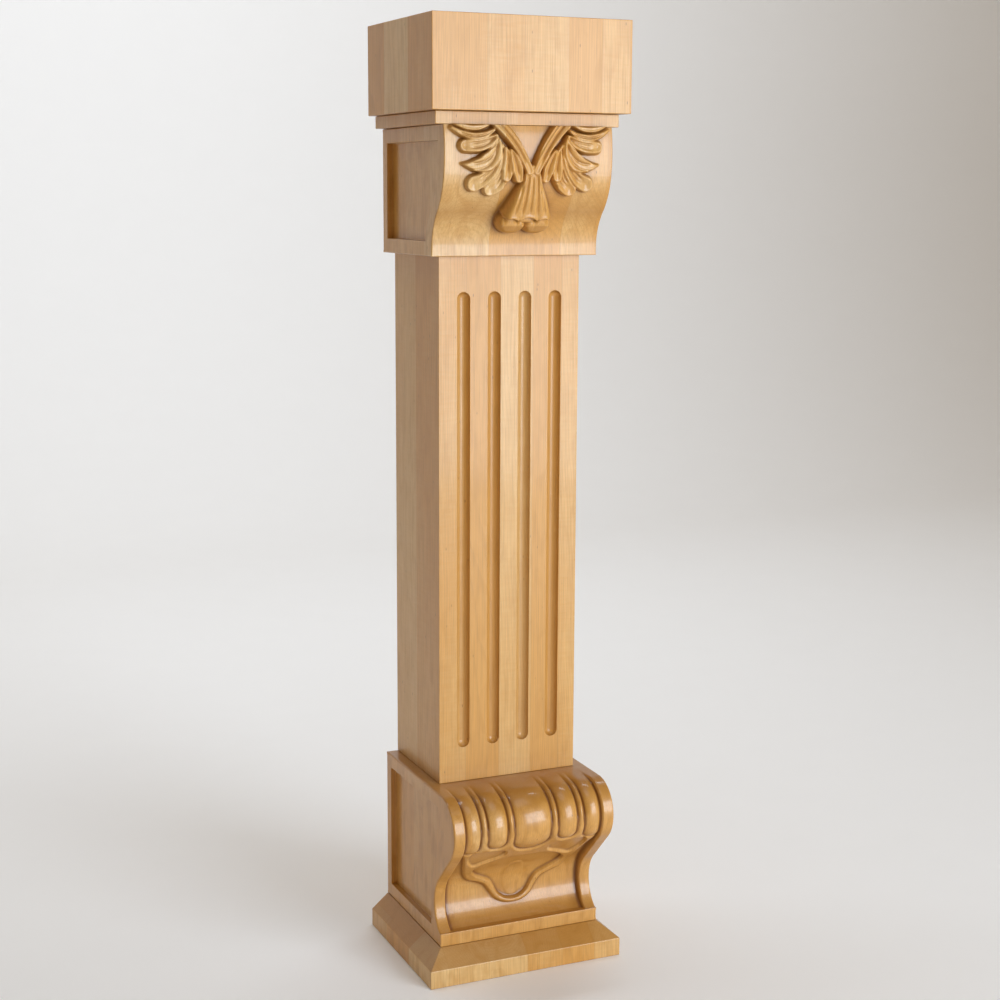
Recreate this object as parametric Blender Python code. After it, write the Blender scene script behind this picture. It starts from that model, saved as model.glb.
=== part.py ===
"""Fireplace corbel in hard maple: a fluted mantel leg between a carved capital and a carved base.

The leg stands on its plinth. Its front faces -Y and its flat back faces +Y, and the origin is on
the floor under the middle of the whole piece. Sizes are in millimetres until a mesh is made.
"""
import math

import bmesh
import bpy
import numpy as np

MM = 0.001

# Fit and finish that all pieces share
JOINT_GAP = 0.3
EDGE_EASE = 0.8
CARVE_STEP = 2.2
RIGHT_ANGLE = 90.0
CREASE = 40.0

# Plinth: an upright face with a sloped top that runs in to the base block
PLINTH_WIDTH = 272.5
PLINTH_DEPTH = 224.3
PLINTH_FACE_HEIGHT = 23.8
PLINTH_SLOPE_HEIGHT = 19.9

# Base block: a plain foot band, a cove, a straight sweep and a roll on top
BASE_WIDTH = 225.8
BASE_FOOT_DEPTH = 199.2
BASE_FOOT_BAND = 17.3
BASE_LEDGE = 2.0
COVE_FOOT_RADIUS = 44.0
COVE_FOOT_TURN = 57.2
COVE_RADIUS = 48.3
SWEEP_RUN = 60.3
SWEEP_SLOPE = 45.0
ROLL_RADIUS = 43.5
ROLL_TOP_RUN = 33.0
ROLL_FADE = 59.0
BASE_BORDER = 16.4
BASE_CARVING_SHEET = 225.8
BASE_TRIANGLES = 4300

# Fluted shaft
SHAFT_WIDTH = 193.6
SHAFT_DEPTH = 155.7
SHAFT_LENGTH = 682.2
FLUTE_COUNT = 4
FLUTE_PITCH = 42.1
FLUTE_RADIUS = 8.8
FLUTE_SET_OUT = 1.3
FLUTE_TOP_MARGIN = 44.5
FLUTE_FOOT_MARGIN = 45.5
FLUTE_SIDES = 16
FLUTE_RINGS = 4

# Capital block: a plain band, a hollow that sweeps out and a full crown under the neck
CAPITAL_WIDTH = 225.6
CAPITAL_FOOT_DEPTH = 172.1
CAPITAL_FOOT_BAND = 6.5
HOLLOW_RADIUS = 70.0
HOLLOW_TURN = 42.7
SHOULDER_RADIUS = 86.0
SHOULDER_TURN = 34.0
CROWN_RADIUS = 169.0
CROWN_TURN = 20.0
CAPITAL_CARVING_SHEET = 225.6
CAPITAL_TRIANGLES = 4300

# Sunk panels in the sides of both blocks
PANEL_RECESS = 8.0
PANEL_BACK_STILE = 16.0
PANEL_RAIL = 18.5
CAPITAL_PANEL_BORDER = 22.0
BASE_PANEL_BORDER = 11.0
BASE_PANEL_SWAY = 0.4
PANEL_STEPS = 10

# Neck band and cap block
NECK_WIDTH = 245.5
NECK_DEPTH = 210.5
NECK_HEIGHT = 15.7
CAP_WIDTH = 264.8
CAP_DEPTH = 224.9
CAP_HEIGHT = 112.8

# Wood colours, as linear values, and how the lacquer shines
MAPLE_PALE = (0.72, 0.50, 0.29)
MAPLE_TAN = (0.62, 0.38, 0.18)
LACQUER_ROUGHNESS = 0.38

# Capital carving on its sheet: across from the middle, and down from the top edge
FINGERS = (
    {"spine": ((40, 24), (30, 62), (53, 74)), "widths": (3.0, 8.0, 12.0, 10.5), "rise": (10.0, 9.0)},
    {"spine": ((36, 27), (31, 46), (34, 60)), "widths": (2.5, 5.5, 7.5, 6.5), "rise": (12.0, 11.0)},
    {"spine": ((43, 21), (45, 58), (75, 69)), "widths": (3.0, 7.0, 8.5, 10.5), "rise": (11.0, 8.0)},
    {"spine": ((46, 17), (50, 55), (92, 46)), "widths": (3.5, 9.5, 11.5, 8.0, 1.0), "rise": (12.0, 7.0)},
    {"spine": ((30, 30), (20, 48), (17, 62)), "widths": (2.5, 6.0, 8.0, 6.5), "rise": (13.0, 12.5)},
    {"spine": ((48, 13), (62, 26), (88, 25)), "widths": (3.5, 8.5, 9.5, 8.5), "rise": (11.5, 7.5)},
    {"spine": ((51, 6), (76, 22), (104, 4)), "widths": (3.0, 5.0, 5.0, 3.0), "rise": (11.5, 7.0)},
    {"spine": ((56, -1), (78, 9), (102, -2)), "widths": (2.5, 4.5, 4.5, 2.5), "rise": (10.5, 8.0)},
)
STEM = {"spine": ((47, -4), (26, 26), (5, 52)), "widths": (8.5, 7.5, 6.0), "rise": (13.5, 13.5)}
STALK_DOWN = (48, 64, 84, 106, 118)
STALK_HALF_WIDTHS = (9.0, 14.0, 24.0, 34.0, 34.0)
BELL_DOWN = (42, 56, 72, 88, 104, 116, 128, 140)
BELL_RISE = (12.5, 12.5, 14.5, 18.0, 21.5, 21.0, 18.0, 13.0)
BELL_LOBE = {"across": 16.5, "down": 119.5, "radius": 19.0}
BELL_MARGIN = 1.0
SCROLL_DOWN = 110.0
SCROLL_ARCHES = (
    {"across": 0.0, "half": 12.5, "height": 7.0},
    {"across": 21.5, "half": 9.0, "height": 5.5},
)
SCROLL_HALF = 31.0
SCROLL_CURL = {"depth": 7.0, "reach": 6.0}
BELL_CLEFT = {"depth": 7.0, "half": 3.0, "down": 118.0, "reach": 16.0}
BELL_GROOVE = {"depth": 2.0, "half": 1.6, "across": 3.0, "down": 50.0, "end": 102.0, "flare": 0.05}
FINGER_EDGE = {"drop": 4.5, "width": 4.0}
FINGER_SCOOP = {"depth": 1.6, "from": 2.0, "width": 3.0}
LEAF_WALL = 3.5
BELL_WALL = 8.0
OVERLAP_BLEND = 0.8
OVERLAP_START = 0.5

# Base carving on its sheet: across from the middle, and up from the ledge
CARVING_SINK = 8.0
LOBE_RISE = 6.2
BEAD_RISE = 4.4
RIM_RISE = 4.8
FIELD_SINK = 2.4
LOBES = (
    {"across": 0.0, "half": 26.0, "foot": 130.5},
    {"across": 49.5, "half": 13.5, "foot": 145.5},
    {"across": 85.0, "half": 11.5, "foot": 140.5},
)
BEADS = (
    {"across": 31.2, "half": 4.6, "foot": 166.0},
    {"across": 68.4, "half": 4.6, "foot": 166.0},
)
SHELL_OUTLINE = (
    (0, 24.5), (14, 26.5), (26, 33.5), (34, 44.5), (42, 53.5), (55, 59.5), (67, 64),
    (75, 75.5), (81, 94.5), (86, 112.5), (91, 128.5), (96, 145), (96, 180), (0, 180),
)
FIELD_OUTLINE = (
    (0, 30.5), (11, 32.5), (21, 39.5), (27, 49.5), (34, 58.5), (45, 64.5), (56, 70.5),
    (63, 78.5), (64, 88.5), (55, 99.5), (40, 108.5), (20, 114.5), (0, 113.5),
)
DISH_OUTLINE = (
    (42, 121.5), (44, 133.5), (60, 140.5), (80, 138.5), (82, 124.5), (76, 107.5), (70, 102.5), (58, 109.5),
)
FIELD_SWELL = {"up": 60.0, "half": 24.0, "reach": 40.0, "rise": 1.6}
FIELD_WALL = 3.0
RIM_EDGE = 4.0
DISH_SINK = 3.4
DISH_WALL = 6.0
BEAD_RUN_IN = 12.0
LOBE_TRENCH = {"depth": 2.4, "half": 2.2}
LOBE_GROOVE = 0.4
BORDER_WALL = 1.6


def quarter_round(share):
    """Rise from 0 to 1 along a quarter circle."""
    rest = 1 - np.clip(share, 0, 1)
    return np.sqrt(1 - rest * rest)


def ease(share):
    """Rise from 0 to 1 that starts and ends level."""
    share = np.clip(share, 0, 1)
    return share * share * (3 - 2 * share)


def bend(spine, count=12):
    """Points along the bend that three control points give."""
    start, middle, end = (np.array(point, float) for point in spine)
    share = np.linspace(0, 1, count + 1)[:, None]
    return (1 - share) ** 2 * start + 2 * share * (1 - share) * middle + share ** 2 * end


def rounded_outline(half, steps=4):
    """Closed outline, smooth through the points of its right half and their mirror image."""
    right = [np.array(point, float) for point in half]
    left = [point * (-1, 1) for point in reversed(right) if point[0] > 0]
    return smooth_loop(right + left, steps)


def smooth_loop(points, steps=4):
    """Closed smooth curve through the points."""
    outline = []
    for index, point in enumerate(points):
        before = points[index - 1]
        after = points[(index + 1) % len(points)]
        beyond = points[(index + 2) % len(points)]
        for share in np.arange(steps) / steps:
            outline.append(0.5 * (2 * point + (after - before) * share
                                  + (2 * before - 5 * point + 4 * after - beyond) * share ** 2
                                  + (3 * point - before - 3 * after + beyond) * share ** 3))
    return np.array(outline)


def in_stroke(x, y, spine, widths):
    """How far inside a bent stroke each place lies, and its share of the way along."""
    share = np.linspace(0, 1, len(spine))
    radius = np.interp(share, np.linspace(0, 1, len(widths)), widths)
    inside = np.full(x.shape, -np.inf)
    travel = np.zeros(x.shape)
    for index in range(len(spine) - 1):
        start = spine[index]
        along = spine[index + 1] - start
        place = ((x - start[0]) * along[0] + (y - start[1]) * along[1]) / along.dot(along)
        place = np.clip(place, 0, 1)
        away = np.hypot(x - start[0] - place * along[0], y - start[1] - place * along[1])
        here = radius[index] + place * (radius[index + 1] - radius[index]) - away
        closer = here > inside
        inside = np.where(closer, here, inside)
        travel = np.where(closer, share[index] + place * (share[index + 1] - share[index]), travel)
    return inside, travel


def in_outline(x, y, outline):
    """How far inside a closed outline each place lies, negative outside it."""
    away = np.full(x.shape, np.inf)
    inside = np.zeros(x.shape, bool)
    for start, end in zip(outline, np.roll(outline, -1, axis=0)):
        along = end - start
        place = ((x - start[0]) * along[0] + (y - start[1]) * along[1]) / along.dot(along)
        place = np.clip(place, 0, 1)
        away = np.minimum(away, np.hypot(x - start[0] - place * along[0], y - start[1] - place * along[1]))
        crosses = (start[1] > y) != (end[1] > y)
        rise = along[1] if along[1] else 1.0
        inside ^= crosses & (x < start[0] + (y - start[1]) * along[0] / rise)
    return np.where(inside, away, -away)


def lay_over(level, inside, form):
    """Lay one form over the carving so far, from its edge inwards."""
    share = ease(inside / OVERLAP_BLEND + OVERLAP_START)
    return level * (1 - share) + form * share


def scroll_line(x):
    """Height of the scalloped lip where the bell curls under."""
    line = np.full(x.shape, SCROLL_DOWN)
    for arch in SCROLL_ARCHES:
        share = np.clip(1 - ((x - arch["across"]) / arch["half"]) ** 2, 0, 1)
        line = np.minimum(line, SCROLL_DOWN - arch["height"] * np.sqrt(share))
    return line


def bell(x, y):
    """Stalk that flares to a bell and curls under in two lobes: inside distance and level."""
    half = np.interp(y, STALK_DOWN, STALK_HALF_WIDTHS)
    stalk = np.minimum(half - x, np.minimum(y - STALK_DOWN[0], STALK_DOWN[-1] - y) + LEAF_WALL)
    lobe = BELL_LOBE["radius"] - np.hypot(x - BELL_LOBE["across"], y - BELL_LOBE["down"])
    level = np.interp(y, BELL_DOWN, BELL_RISE)
    under = np.clip(y - scroll_line(x), 0, None)
    curl = np.where(under > 0, SCROLL_CURL["depth"] * np.exp(-under / SCROLL_CURL["reach"]), 0)
    level -= curl * ease((SCROLL_HALF - x) / LEAF_WALL)
    cleft = ease((y - BELL_CLEFT["down"]) / BELL_CLEFT["reach"])
    level -= BELL_CLEFT["depth"] * np.exp(-(x / BELL_CLEFT["half"]) ** 2) * cleft
    middle = BELL_GROOVE["across"] + (y - BELL_GROOVE["down"]) * BELL_GROOVE["flare"]
    ends = np.minimum(y - BELL_GROOVE["down"], BELL_GROOVE["end"] - y) / BELL_WALL
    level -= BELL_GROOVE["depth"] * np.exp(-((x - middle) / BELL_GROOVE["half"]) ** 2) * ease(ends)
    return np.maximum(stalk, lobe), level


def finger(x, y, form):
    """One leaf finger or stem: inside distance and level."""
    inside, travel = in_stroke(x, y, bend(form["spine"]), form["widths"])
    root, tip = form["rise"]
    level = root + (tip - root) * travel ** 3
    level -= FINGER_EDGE["drop"] * (1 - quarter_round(inside / FINGER_EDGE["width"]))
    level -= FINGER_SCOOP["depth"] * ease((inside - FINGER_SCOOP["from"]) / FINGER_SCOOP["width"])
    return inside, level


def leaf_relief(across, down):
    """Rise of the capital's two leaf sprays, stems and bell above the plain front."""
    x = np.abs(across)
    covered, level = bell(x, down)
    for form in FINGERS + (STEM,):
        inside, form_level = finger(x, down, form)
        level = lay_over(level, inside, form_level)
        covered = np.maximum(covered, inside)
    beside = ease(BELL_LOBE["across"] + BELL_LOBE["radius"] + BELL_MARGIN - x)
    below = ease((down - STALK_DOWN[1]) / BELL_WALL)
    wall = LEAF_WALL + (BELL_WALL - LEAF_WALL) * beside * below
    return np.where(covered > 0, level, 0) * quarter_round(covered / wall)


def roll_relief(across, up, field_half):
    """Depth of the base's sunk carving: lobes over the roll, and a shell under them."""
    x = np.abs(across)
    ground = -CARVING_SINK
    level = np.full(x.shape, ground)
    rim = ground + RIM_RISE
    shell = in_outline(x, up, rounded_outline(SHELL_OUTLINE))
    level = lay_over(level, shell, rim - RIM_RISE * (1 - quarter_round(shell / RIM_EDGE)))
    dish = in_outline(x, up, smooth_loop([np.array(point, float) for point in DISH_OUTLINE]))
    level = level - DISH_SINK * quarter_round(dish / DISH_WALL)
    field = in_outline(x, up, rounded_outline(FIELD_OUTLINE))
    round_share = 1 - (x / FIELD_SWELL["half"]) ** 2 - ((up - FIELD_SWELL["up"]) / FIELD_SWELL["reach"]) ** 2
    floor = ground - FIELD_SINK + FIELD_SWELL["rise"] * ease(round_share)
    level = np.where(field > 0, level + (floor - level) * quarter_round(field / FIELD_WALL), level)
    for form in BEADS:
        inside = form["half"] - np.abs(x - form["across"])
        share = np.where(inside > 0, ease((up - form["foot"]) / BEAD_RUN_IN), 0)
        level = level * (1 - share) + (ground + BEAD_RISE * quarter_round(inside / form["half"])) * share
    for form in LOBES:
        below = np.minimum(up - form["foot"] - form["half"], 0)
        inside = form["half"] - np.hypot(x - form["across"], below)
        crown = ground + LOBE_RISE * quarter_round(inside / form["half"])
        trench = LOBE_TRENCH["depth"] * np.exp(-(inside / LOBE_TRENCH["half"]) ** 2)
        level = lay_over(np.maximum(level - trench, ground), inside + LOBE_GROOVE, crown)
    return level * ease((field_half - x) / BORDER_WALL + 0.5)


def front_line(depth, height, heading, moves):
    """Rows up a block's front, from runs and arcs: place, the way its normal points, and travel.

    A heading of 0 is straight up, and a positive one leans out to the front.
    """
    rows = []
    travel = 0.0
    for length, turn in moves:
        steps = max(1, round(length / CARVE_STEP))
        for _ in range(steps):
            lean = math.radians(heading)
            rows.append((depth, height, math.cos(lean), -math.sin(lean), travel))
            middle = math.radians(heading + turn / steps / 2)
            depth += length / steps * math.sin(middle)
            height += length / steps * math.cos(middle)
            travel += length / steps
            heading += turn / steps
    lean = math.radians(heading)
    rows.append((depth, height, math.cos(lean), -math.sin(lean), travel))
    return np.array(rows)


def arc(radius, turn):
    """Length and turn of an arc."""
    return radius * math.radians(abs(turn)), turn


def base_front():
    """Front of the base block above its ledge, and the length of the carved part."""
    foot = front_line(BASE_FOOT_DEPTH - BASE_LEDGE, BASE_FOOT_BAND, -COVE_FOOT_TURN,
                      [arc(COVE_FOOT_RADIUS, COVE_FOOT_TURN)])
    foot[:, 2:4] = (1, 0)
    upper = front_line(foot[-1, 0], foot[-1, 1], 0,
                       [arc(COVE_RADIUS, SWEEP_SLOPE), (SWEEP_RUN, 0),
                        arc(ROLL_RADIUS, -SWEEP_SLOPE - RIGHT_ANGLE), (ROLL_TOP_RUN, 0)])
    upper[:, 4] += foot[-1, 4]
    return np.vstack([foot[:-1], upper])


def capital_front():
    """Front of the capital block."""
    rows = front_line(CAPITAL_FOOT_DEPTH, 0, 0,
                      [(CAPITAL_FOOT_BAND, 0), arc(HOLLOW_RADIUS, HOLLOW_TURN),
                       arc(SHOULDER_RADIUS, -SHOULDER_TURN), arc(CROWN_RADIUS, -CROWN_TURN)])
    rows[rows[:, 3] > 0, 2:4] = (1, 0)
    return rows


BASE_FRONT = base_front()
CAPITAL_FRONT = capital_front()

# Heights of the pieces, one on the other, and the place of the flat back
PLINTH_TOP = PLINTH_FACE_HEIGHT + PLINTH_SLOPE_HEIGHT
BASE_BOTTOM = PLINTH_TOP + JOINT_GAP
BASE_TOP = BASE_BOTTOM + BASE_FRONT[-1, 1]
SHAFT_BOTTOM = BASE_TOP + JOINT_GAP
SHAFT_TOP = SHAFT_BOTTOM + SHAFT_LENGTH
CAPITAL_BOTTOM = SHAFT_TOP + JOINT_GAP
CAPITAL_TOP = CAPITAL_BOTTOM + CAPITAL_FRONT[-1, 1]
NECK_BOTTOM = CAPITAL_TOP + JOINT_GAP
NECK_TOP = NECK_BOTTOM + NECK_HEIGHT
CAP_BOTTOM = NECK_TOP + JOINT_GAP
CAP_TOP = CAP_BOTTOM + CAP_HEIGHT
BASE_ROLL = BASE_FRONT[BASE_FRONT[:, 0].argmax()]
BASE_COVE = min(BASE_FRONT[: int(BASE_FRONT[:, 0].argmax())], key=lambda row: row[0])
BACK = max(BASE_ROLL[0], PLINTH_DEPTH, CAP_DEPTH) / 2


def place(across, depth, height):
    """Place in metres of a point given across, out from the back, and up from the floor."""
    return across * MM, (BACK - depth) * MM, height * MM


def clear_scene():
    """Start from an empty scene."""
    for leftover in list(bpy.data.objects):
        bpy.data.objects.remove(leftover, do_unlink=True)


def lacquered_maple(name, colour):
    """Clear satin lacquer on maple."""
    material = bpy.data.materials.new(name)
    material.use_nodes = True
    shader = material.node_tree.nodes["Principled BSDF"]
    shader.inputs["Base Color"].default_value = (*colour, 1)
    shader.inputs["Roughness"].default_value = LACQUER_ROUGHNESS
    shader.inputs["Metallic"].default_value = 0
    return material


def add_object(name, model, colour=None):
    """Turn a finished model into an object; one with no colour is a cutter."""
    bmesh.ops.recalc_face_normals(model, faces=model.faces)
    mesh = bpy.data.meshes.new(name)
    model.to_mesh(mesh)
    model.free()
    mesh.shade_smooth()
    mesh.set_sharp_from_angle(angle=math.radians(CREASE))
    piece = bpy.data.objects.new(name, mesh)
    bpy.context.collection.objects.link(piece)
    if colour:
        mesh.materials.append(lacquered_maple(name + "_maple", colour))
    else:
        piece.hide_render = True
        piece.display_type = "WIRE"
    return piece


def stacked_model(levels):
    """Closed model through rectangles, each given as width, depth and height, flush at the back."""
    model = bmesh.new()
    rings = []
    for width, depth, height in levels:
        corners = ((-width / 2, 0), (-width / 2, depth), (width / 2, depth), (width / 2, 0))
        rings.append([model.verts.new(place(across, out, height)) for across, out in corners])
    for lower, upper in zip(rings, rings[1:]):
        for index in range(4):
            after = (index + 1) % 4
            model.faces.new((lower[index], lower[after], upper[after], upper[index]))
    model.faces.new(rings[0])
    model.faces.new(rings[-1])
    return model


def ease_edges(piece):
    """Take the sharp arris off a plain block."""
    soft = piece.modifiers.new("eased_edges", "BEVEL")
    soft.width = EDGE_EASE * MM
    soft.segments = 1
    soft.limit_method = "ANGLE"


def cut(piece, cutter):
    """Cut one closed shape out of a piece."""
    cutting = piece.modifiers.new("cut_" + cutter.name, "BOOLEAN")
    cutting.operation = "DIFFERENCE"
    cutting.object = cutter


def swept_model(width, rows, rises, bottom):
    """Closed model of a block whose front rows are moved out by their rises."""
    columns = rises.shape[1]
    across = np.linspace(-width / 2, width / 2, columns)
    depths = rows[:, 0:1] + rises * rows[:, 2:3]
    heights = rows[:, 1:2] + rises * rows[:, 3:4]
    model = bmesh.new()
    grid = []
    for row_depths, row_heights in zip(depths, heights):
        grid.append([model.verts.new(place(x, depth, bottom + height))
                     for x, depth, height in zip(across, row_depths, row_heights)])
    for lower, upper in zip(grid, grid[1:] + grid[:1]):
        for column in range(columns - 1):
            model.faces.new((lower[column], lower[column + 1], upper[column + 1], upper[column]))
    model.faces.new([row[0] for row in grid])
    model.faces.new([row[-1] for row in grid])
    return model


def thin_grid(piece, triangles):
    """Thin a carved block's fine grid to where its shape needs it."""
    thin = piece.modifiers.new("thinned_grid", "DECIMATE")
    thin.ratio = triangles / (2 * len(piece.data.polygons))
    thin.use_collapse_triangulate = True
    thin.use_symmetry = True
    thin.symmetry_axis = "X"


def grid_across(width, sheet_width):
    """Columns across a block, in the carving sheet's millimetres."""
    columns = round(width / CARVE_STEP)
    return np.linspace(-sheet_width / 2, sheet_width / 2, columns + 1)


def add_base():
    """Base block with its roll, cove and sunk carving."""
    scale = BASE_WIDTH / BASE_CARVING_SHEET
    across, up = np.meshgrid(grid_across(BASE_WIDTH, BASE_CARVING_SHEET), BASE_FRONT[:, 4] / scale)
    field_half = (BASE_WIDTH / 2 - BASE_BORDER) / scale
    fade = ease((BASE_FRONT[-1, 4] / scale - up) / (ROLL_FADE / scale))
    carved = roll_relief(across, up, field_half) * fade * scale
    plain = np.zeros(across.shape[1])
    ends = np.array([(0, 0), (BASE_FOOT_DEPTH, 0), (BASE_FOOT_DEPTH, BASE_FOOT_BAND)], float)
    foot = np.hstack([ends, np.zeros((3, 3))])
    top = np.array([(0, BASE_FRONT[-1, 1], 0, 0, 0)], float)
    rows = np.vstack([foot, BASE_FRONT, top])
    rises = np.vstack([plain, plain, plain, carved, plain])
    return add_object("base_block", swept_model(BASE_WIDTH, rows, rises, BASE_BOTTOM), MAPLE_TAN)


def add_capital():
    """Capital block with its leaf sprays and bell."""
    scale = CAPITAL_WIDTH / CAPITAL_CARVING_SHEET
    down = (CAPITAL_FRONT[-1, 4] - CAPITAL_FRONT[:, 4]) / scale
    across, down = np.meshgrid(grid_across(CAPITAL_WIDTH, CAPITAL_CARVING_SHEET), down)
    carved = leaf_relief(across, down) * scale
    plain = np.zeros(across.shape[1])
    rows = np.vstack([(0, 0, 0, 0, 0), CAPITAL_FRONT, (0, CAPITAL_FRONT[-1, 1], 0, 0, 0)])
    rises = np.vstack([plain, carved, plain])
    return add_object("capital_block", swept_model(CAPITAL_WIDTH, rows, rises, CAPITAL_BOTTOM), MAPLE_TAN)


def panel_cutter(name, outline, width, side, bottom):
    """Flat-bottomed cutter for a sunk panel, from its outline of depths and heights."""
    model = bmesh.new()
    floor = side * (width / 2 - PANEL_RECESS)
    clear = side * (width / 2 + PANEL_RECESS)
    inner = [model.verts.new(place(floor, depth, bottom + height)) for depth, height in outline]
    outer = [model.verts.new(place(clear, depth, bottom + height)) for depth, height in outline]
    for index in range(len(outline)):
        after = (index + 1) % len(outline)
        model.faces.new((inner[index], inner[after], outer[after], outer[index]))
    model.faces.new(inner)
    model.faces.new(outer)
    return add_object(name, model)


def sink_panels(piece, width, edge_depth, height, bottom):
    """Sink a panel in both sides; its front edge follows a depth that varies with height."""
    levels = np.linspace(PANEL_RAIL, height - PANEL_RAIL, PANEL_STEPS + 1)
    outline = [(PANEL_BACK_STILE, levels[0])]
    outline += [(edge_depth(level), level) for level in levels]
    outline.append((PANEL_BACK_STILE, levels[-1]))
    for side, word in ((-1, "left"), (1, "right")):
        cut(piece, panel_cutter(piece.name + "_panel_" + word, outline, width, side, bottom))


def capital_panel_edge(level):
    """Front edge of the capital's side panel: an even border inside the swept front."""
    return np.interp(level, CAPITAL_FRONT[:, 1], CAPITAL_FRONT[:, 0]) - CAPITAL_PANEL_BORDER


def base_panel_edge(level):
    """Front edge of the base's side panel: upright by the cove, swaying out behind the roll."""
    cove_depth, cove_height = BASE_COVE[:2]
    rising = BASE_FRONT[: int(BASE_FRONT[:, 1].argmax()) + 1]
    front = np.interp(max(level, cove_height), rising[:, 1], rising[:, 0])
    return cove_depth - BASE_PANEL_BORDER + BASE_PANEL_SWAY * (front - cove_depth)


def flute_cutter():
    """Round-ended cutters for all the flutes, as one object."""
    low = SHAFT_BOTTOM + FLUTE_FOOT_MARGIN + FLUTE_RADIUS
    high = SHAFT_TOP - FLUTE_TOP_MARGIN - FLUTE_RADIUS
    angles = [math.radians(RIGHT_ANGLE * ring / FLUTE_RINGS) for ring in range(FLUTE_RINGS)]
    outline = [(math.cos(angle), high, math.sin(angle)) for angle in angles]
    outline = [(math.cos(angle), low, -math.sin(angle)) for angle in reversed(angles)] + outline
    model = bmesh.new()
    for index in range(FLUTE_COUNT):
        middle = (index - (FLUTE_COUNT - 1) / 2) * FLUTE_PITCH
        loops = []
        for radius, level, rise in outline:
            loops.append([])
            for side in range(FLUTE_SIDES):
                angle = 2 * math.pi * side / FLUTE_SIDES
                across = middle + FLUTE_RADIUS * radius * math.cos(angle)
                depth = SHAFT_DEPTH + FLUTE_SET_OUT + FLUTE_RADIUS * radius * math.sin(angle)
                loops[-1].append(model.verts.new(place(across, depth, level + FLUTE_RADIUS * rise)))
        foot = model.verts.new(place(middle, SHAFT_DEPTH + FLUTE_SET_OUT, low - FLUTE_RADIUS))
        head = model.verts.new(place(middle, SHAFT_DEPTH + FLUTE_SET_OUT, high + FLUTE_RADIUS))
        for side in range(FLUTE_SIDES):
            after = (side + 1) % FLUTE_SIDES
            for lower, upper in zip(loops, loops[1:]):
                model.faces.new((lower[side], lower[after], upper[after], upper[side]))
            model.faces.new((foot, loops[0][after], loops[0][side]))
            model.faces.new((head, loops[-1][side], loops[-1][after]))
    return add_object("flute_cutter", model)


def build():
    """Model the corbel from the floor up."""
    clear_scene()
    plinth = add_object("plinth", stacked_model([
        (PLINTH_WIDTH, PLINTH_DEPTH, 0),
        (PLINTH_WIDTH, PLINTH_DEPTH, PLINTH_FACE_HEIGHT),
        (BASE_WIDTH, BASE_FOOT_DEPTH, PLINTH_TOP)]), MAPLE_TAN)
    ease_edges(plinth)
    base = add_base()
    sink_panels(base, BASE_WIDTH, base_panel_edge, BASE_FRONT[-1, 1], BASE_BOTTOM)
    thin_grid(base, BASE_TRIANGLES)
    shaft = add_object("fluted_shaft", stacked_model([
        (SHAFT_WIDTH, SHAFT_DEPTH, SHAFT_BOTTOM),
        (SHAFT_WIDTH, SHAFT_DEPTH, SHAFT_TOP)]), MAPLE_TAN)
    ease_edges(shaft)
    cut(shaft, flute_cutter())
    capital = add_capital()
    sink_panels(capital, CAPITAL_WIDTH, capital_panel_edge, CAPITAL_FRONT[-1, 1], CAPITAL_BOTTOM)
    thin_grid(capital, CAPITAL_TRIANGLES)
    neck = add_object("neck_band", stacked_model([
        (NECK_WIDTH, NECK_DEPTH, NECK_BOTTOM),
        (NECK_WIDTH, NECK_DEPTH, NECK_TOP)]), MAPLE_PALE)
    ease_edges(neck)
    cap = add_object("cap_block", stacked_model([
        (CAP_WIDTH, CAP_DEPTH, CAP_BOTTOM),
        (CAP_WIDTH, CAP_DEPTH, CAP_TOP)]), MAPLE_PALE)
    ease_edges(cap)


build()
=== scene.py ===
"""Fireplace corbel in lacquered maple: the finished surfaces, the studio and the camera.

The leg stands on its plinth with its carved front facing -Y and its flat back facing +Y.
"""

import math

import bmesh
import bpy
import numpy as np
from bpy.props import FloatProperty, FloatVectorProperty, IntProperty, PointerProperty
from bpy.types import Operator, Panel, PropertyGroup
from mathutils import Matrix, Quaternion, Vector
from mathutils.geometry import delaunay_2d_cdt


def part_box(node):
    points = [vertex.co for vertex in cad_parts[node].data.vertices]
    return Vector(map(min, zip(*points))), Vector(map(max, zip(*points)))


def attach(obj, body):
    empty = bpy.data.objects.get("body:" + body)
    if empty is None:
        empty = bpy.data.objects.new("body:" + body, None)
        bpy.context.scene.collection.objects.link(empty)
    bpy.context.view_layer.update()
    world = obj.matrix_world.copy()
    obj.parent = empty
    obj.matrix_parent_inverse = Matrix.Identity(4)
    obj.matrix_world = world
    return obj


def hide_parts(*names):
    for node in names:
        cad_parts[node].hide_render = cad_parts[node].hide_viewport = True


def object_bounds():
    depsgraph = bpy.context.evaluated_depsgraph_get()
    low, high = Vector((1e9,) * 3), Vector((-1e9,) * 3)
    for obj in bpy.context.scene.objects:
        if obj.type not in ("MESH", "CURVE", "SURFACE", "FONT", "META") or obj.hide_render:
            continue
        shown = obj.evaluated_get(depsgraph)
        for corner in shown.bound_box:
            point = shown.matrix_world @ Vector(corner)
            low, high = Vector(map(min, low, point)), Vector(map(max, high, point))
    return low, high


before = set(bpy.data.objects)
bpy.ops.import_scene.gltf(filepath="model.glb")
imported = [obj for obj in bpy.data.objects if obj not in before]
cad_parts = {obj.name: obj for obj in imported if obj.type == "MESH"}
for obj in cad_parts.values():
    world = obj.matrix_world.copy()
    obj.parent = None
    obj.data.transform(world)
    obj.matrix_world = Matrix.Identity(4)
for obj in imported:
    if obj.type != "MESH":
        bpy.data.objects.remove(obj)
SOLID_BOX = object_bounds()

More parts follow.
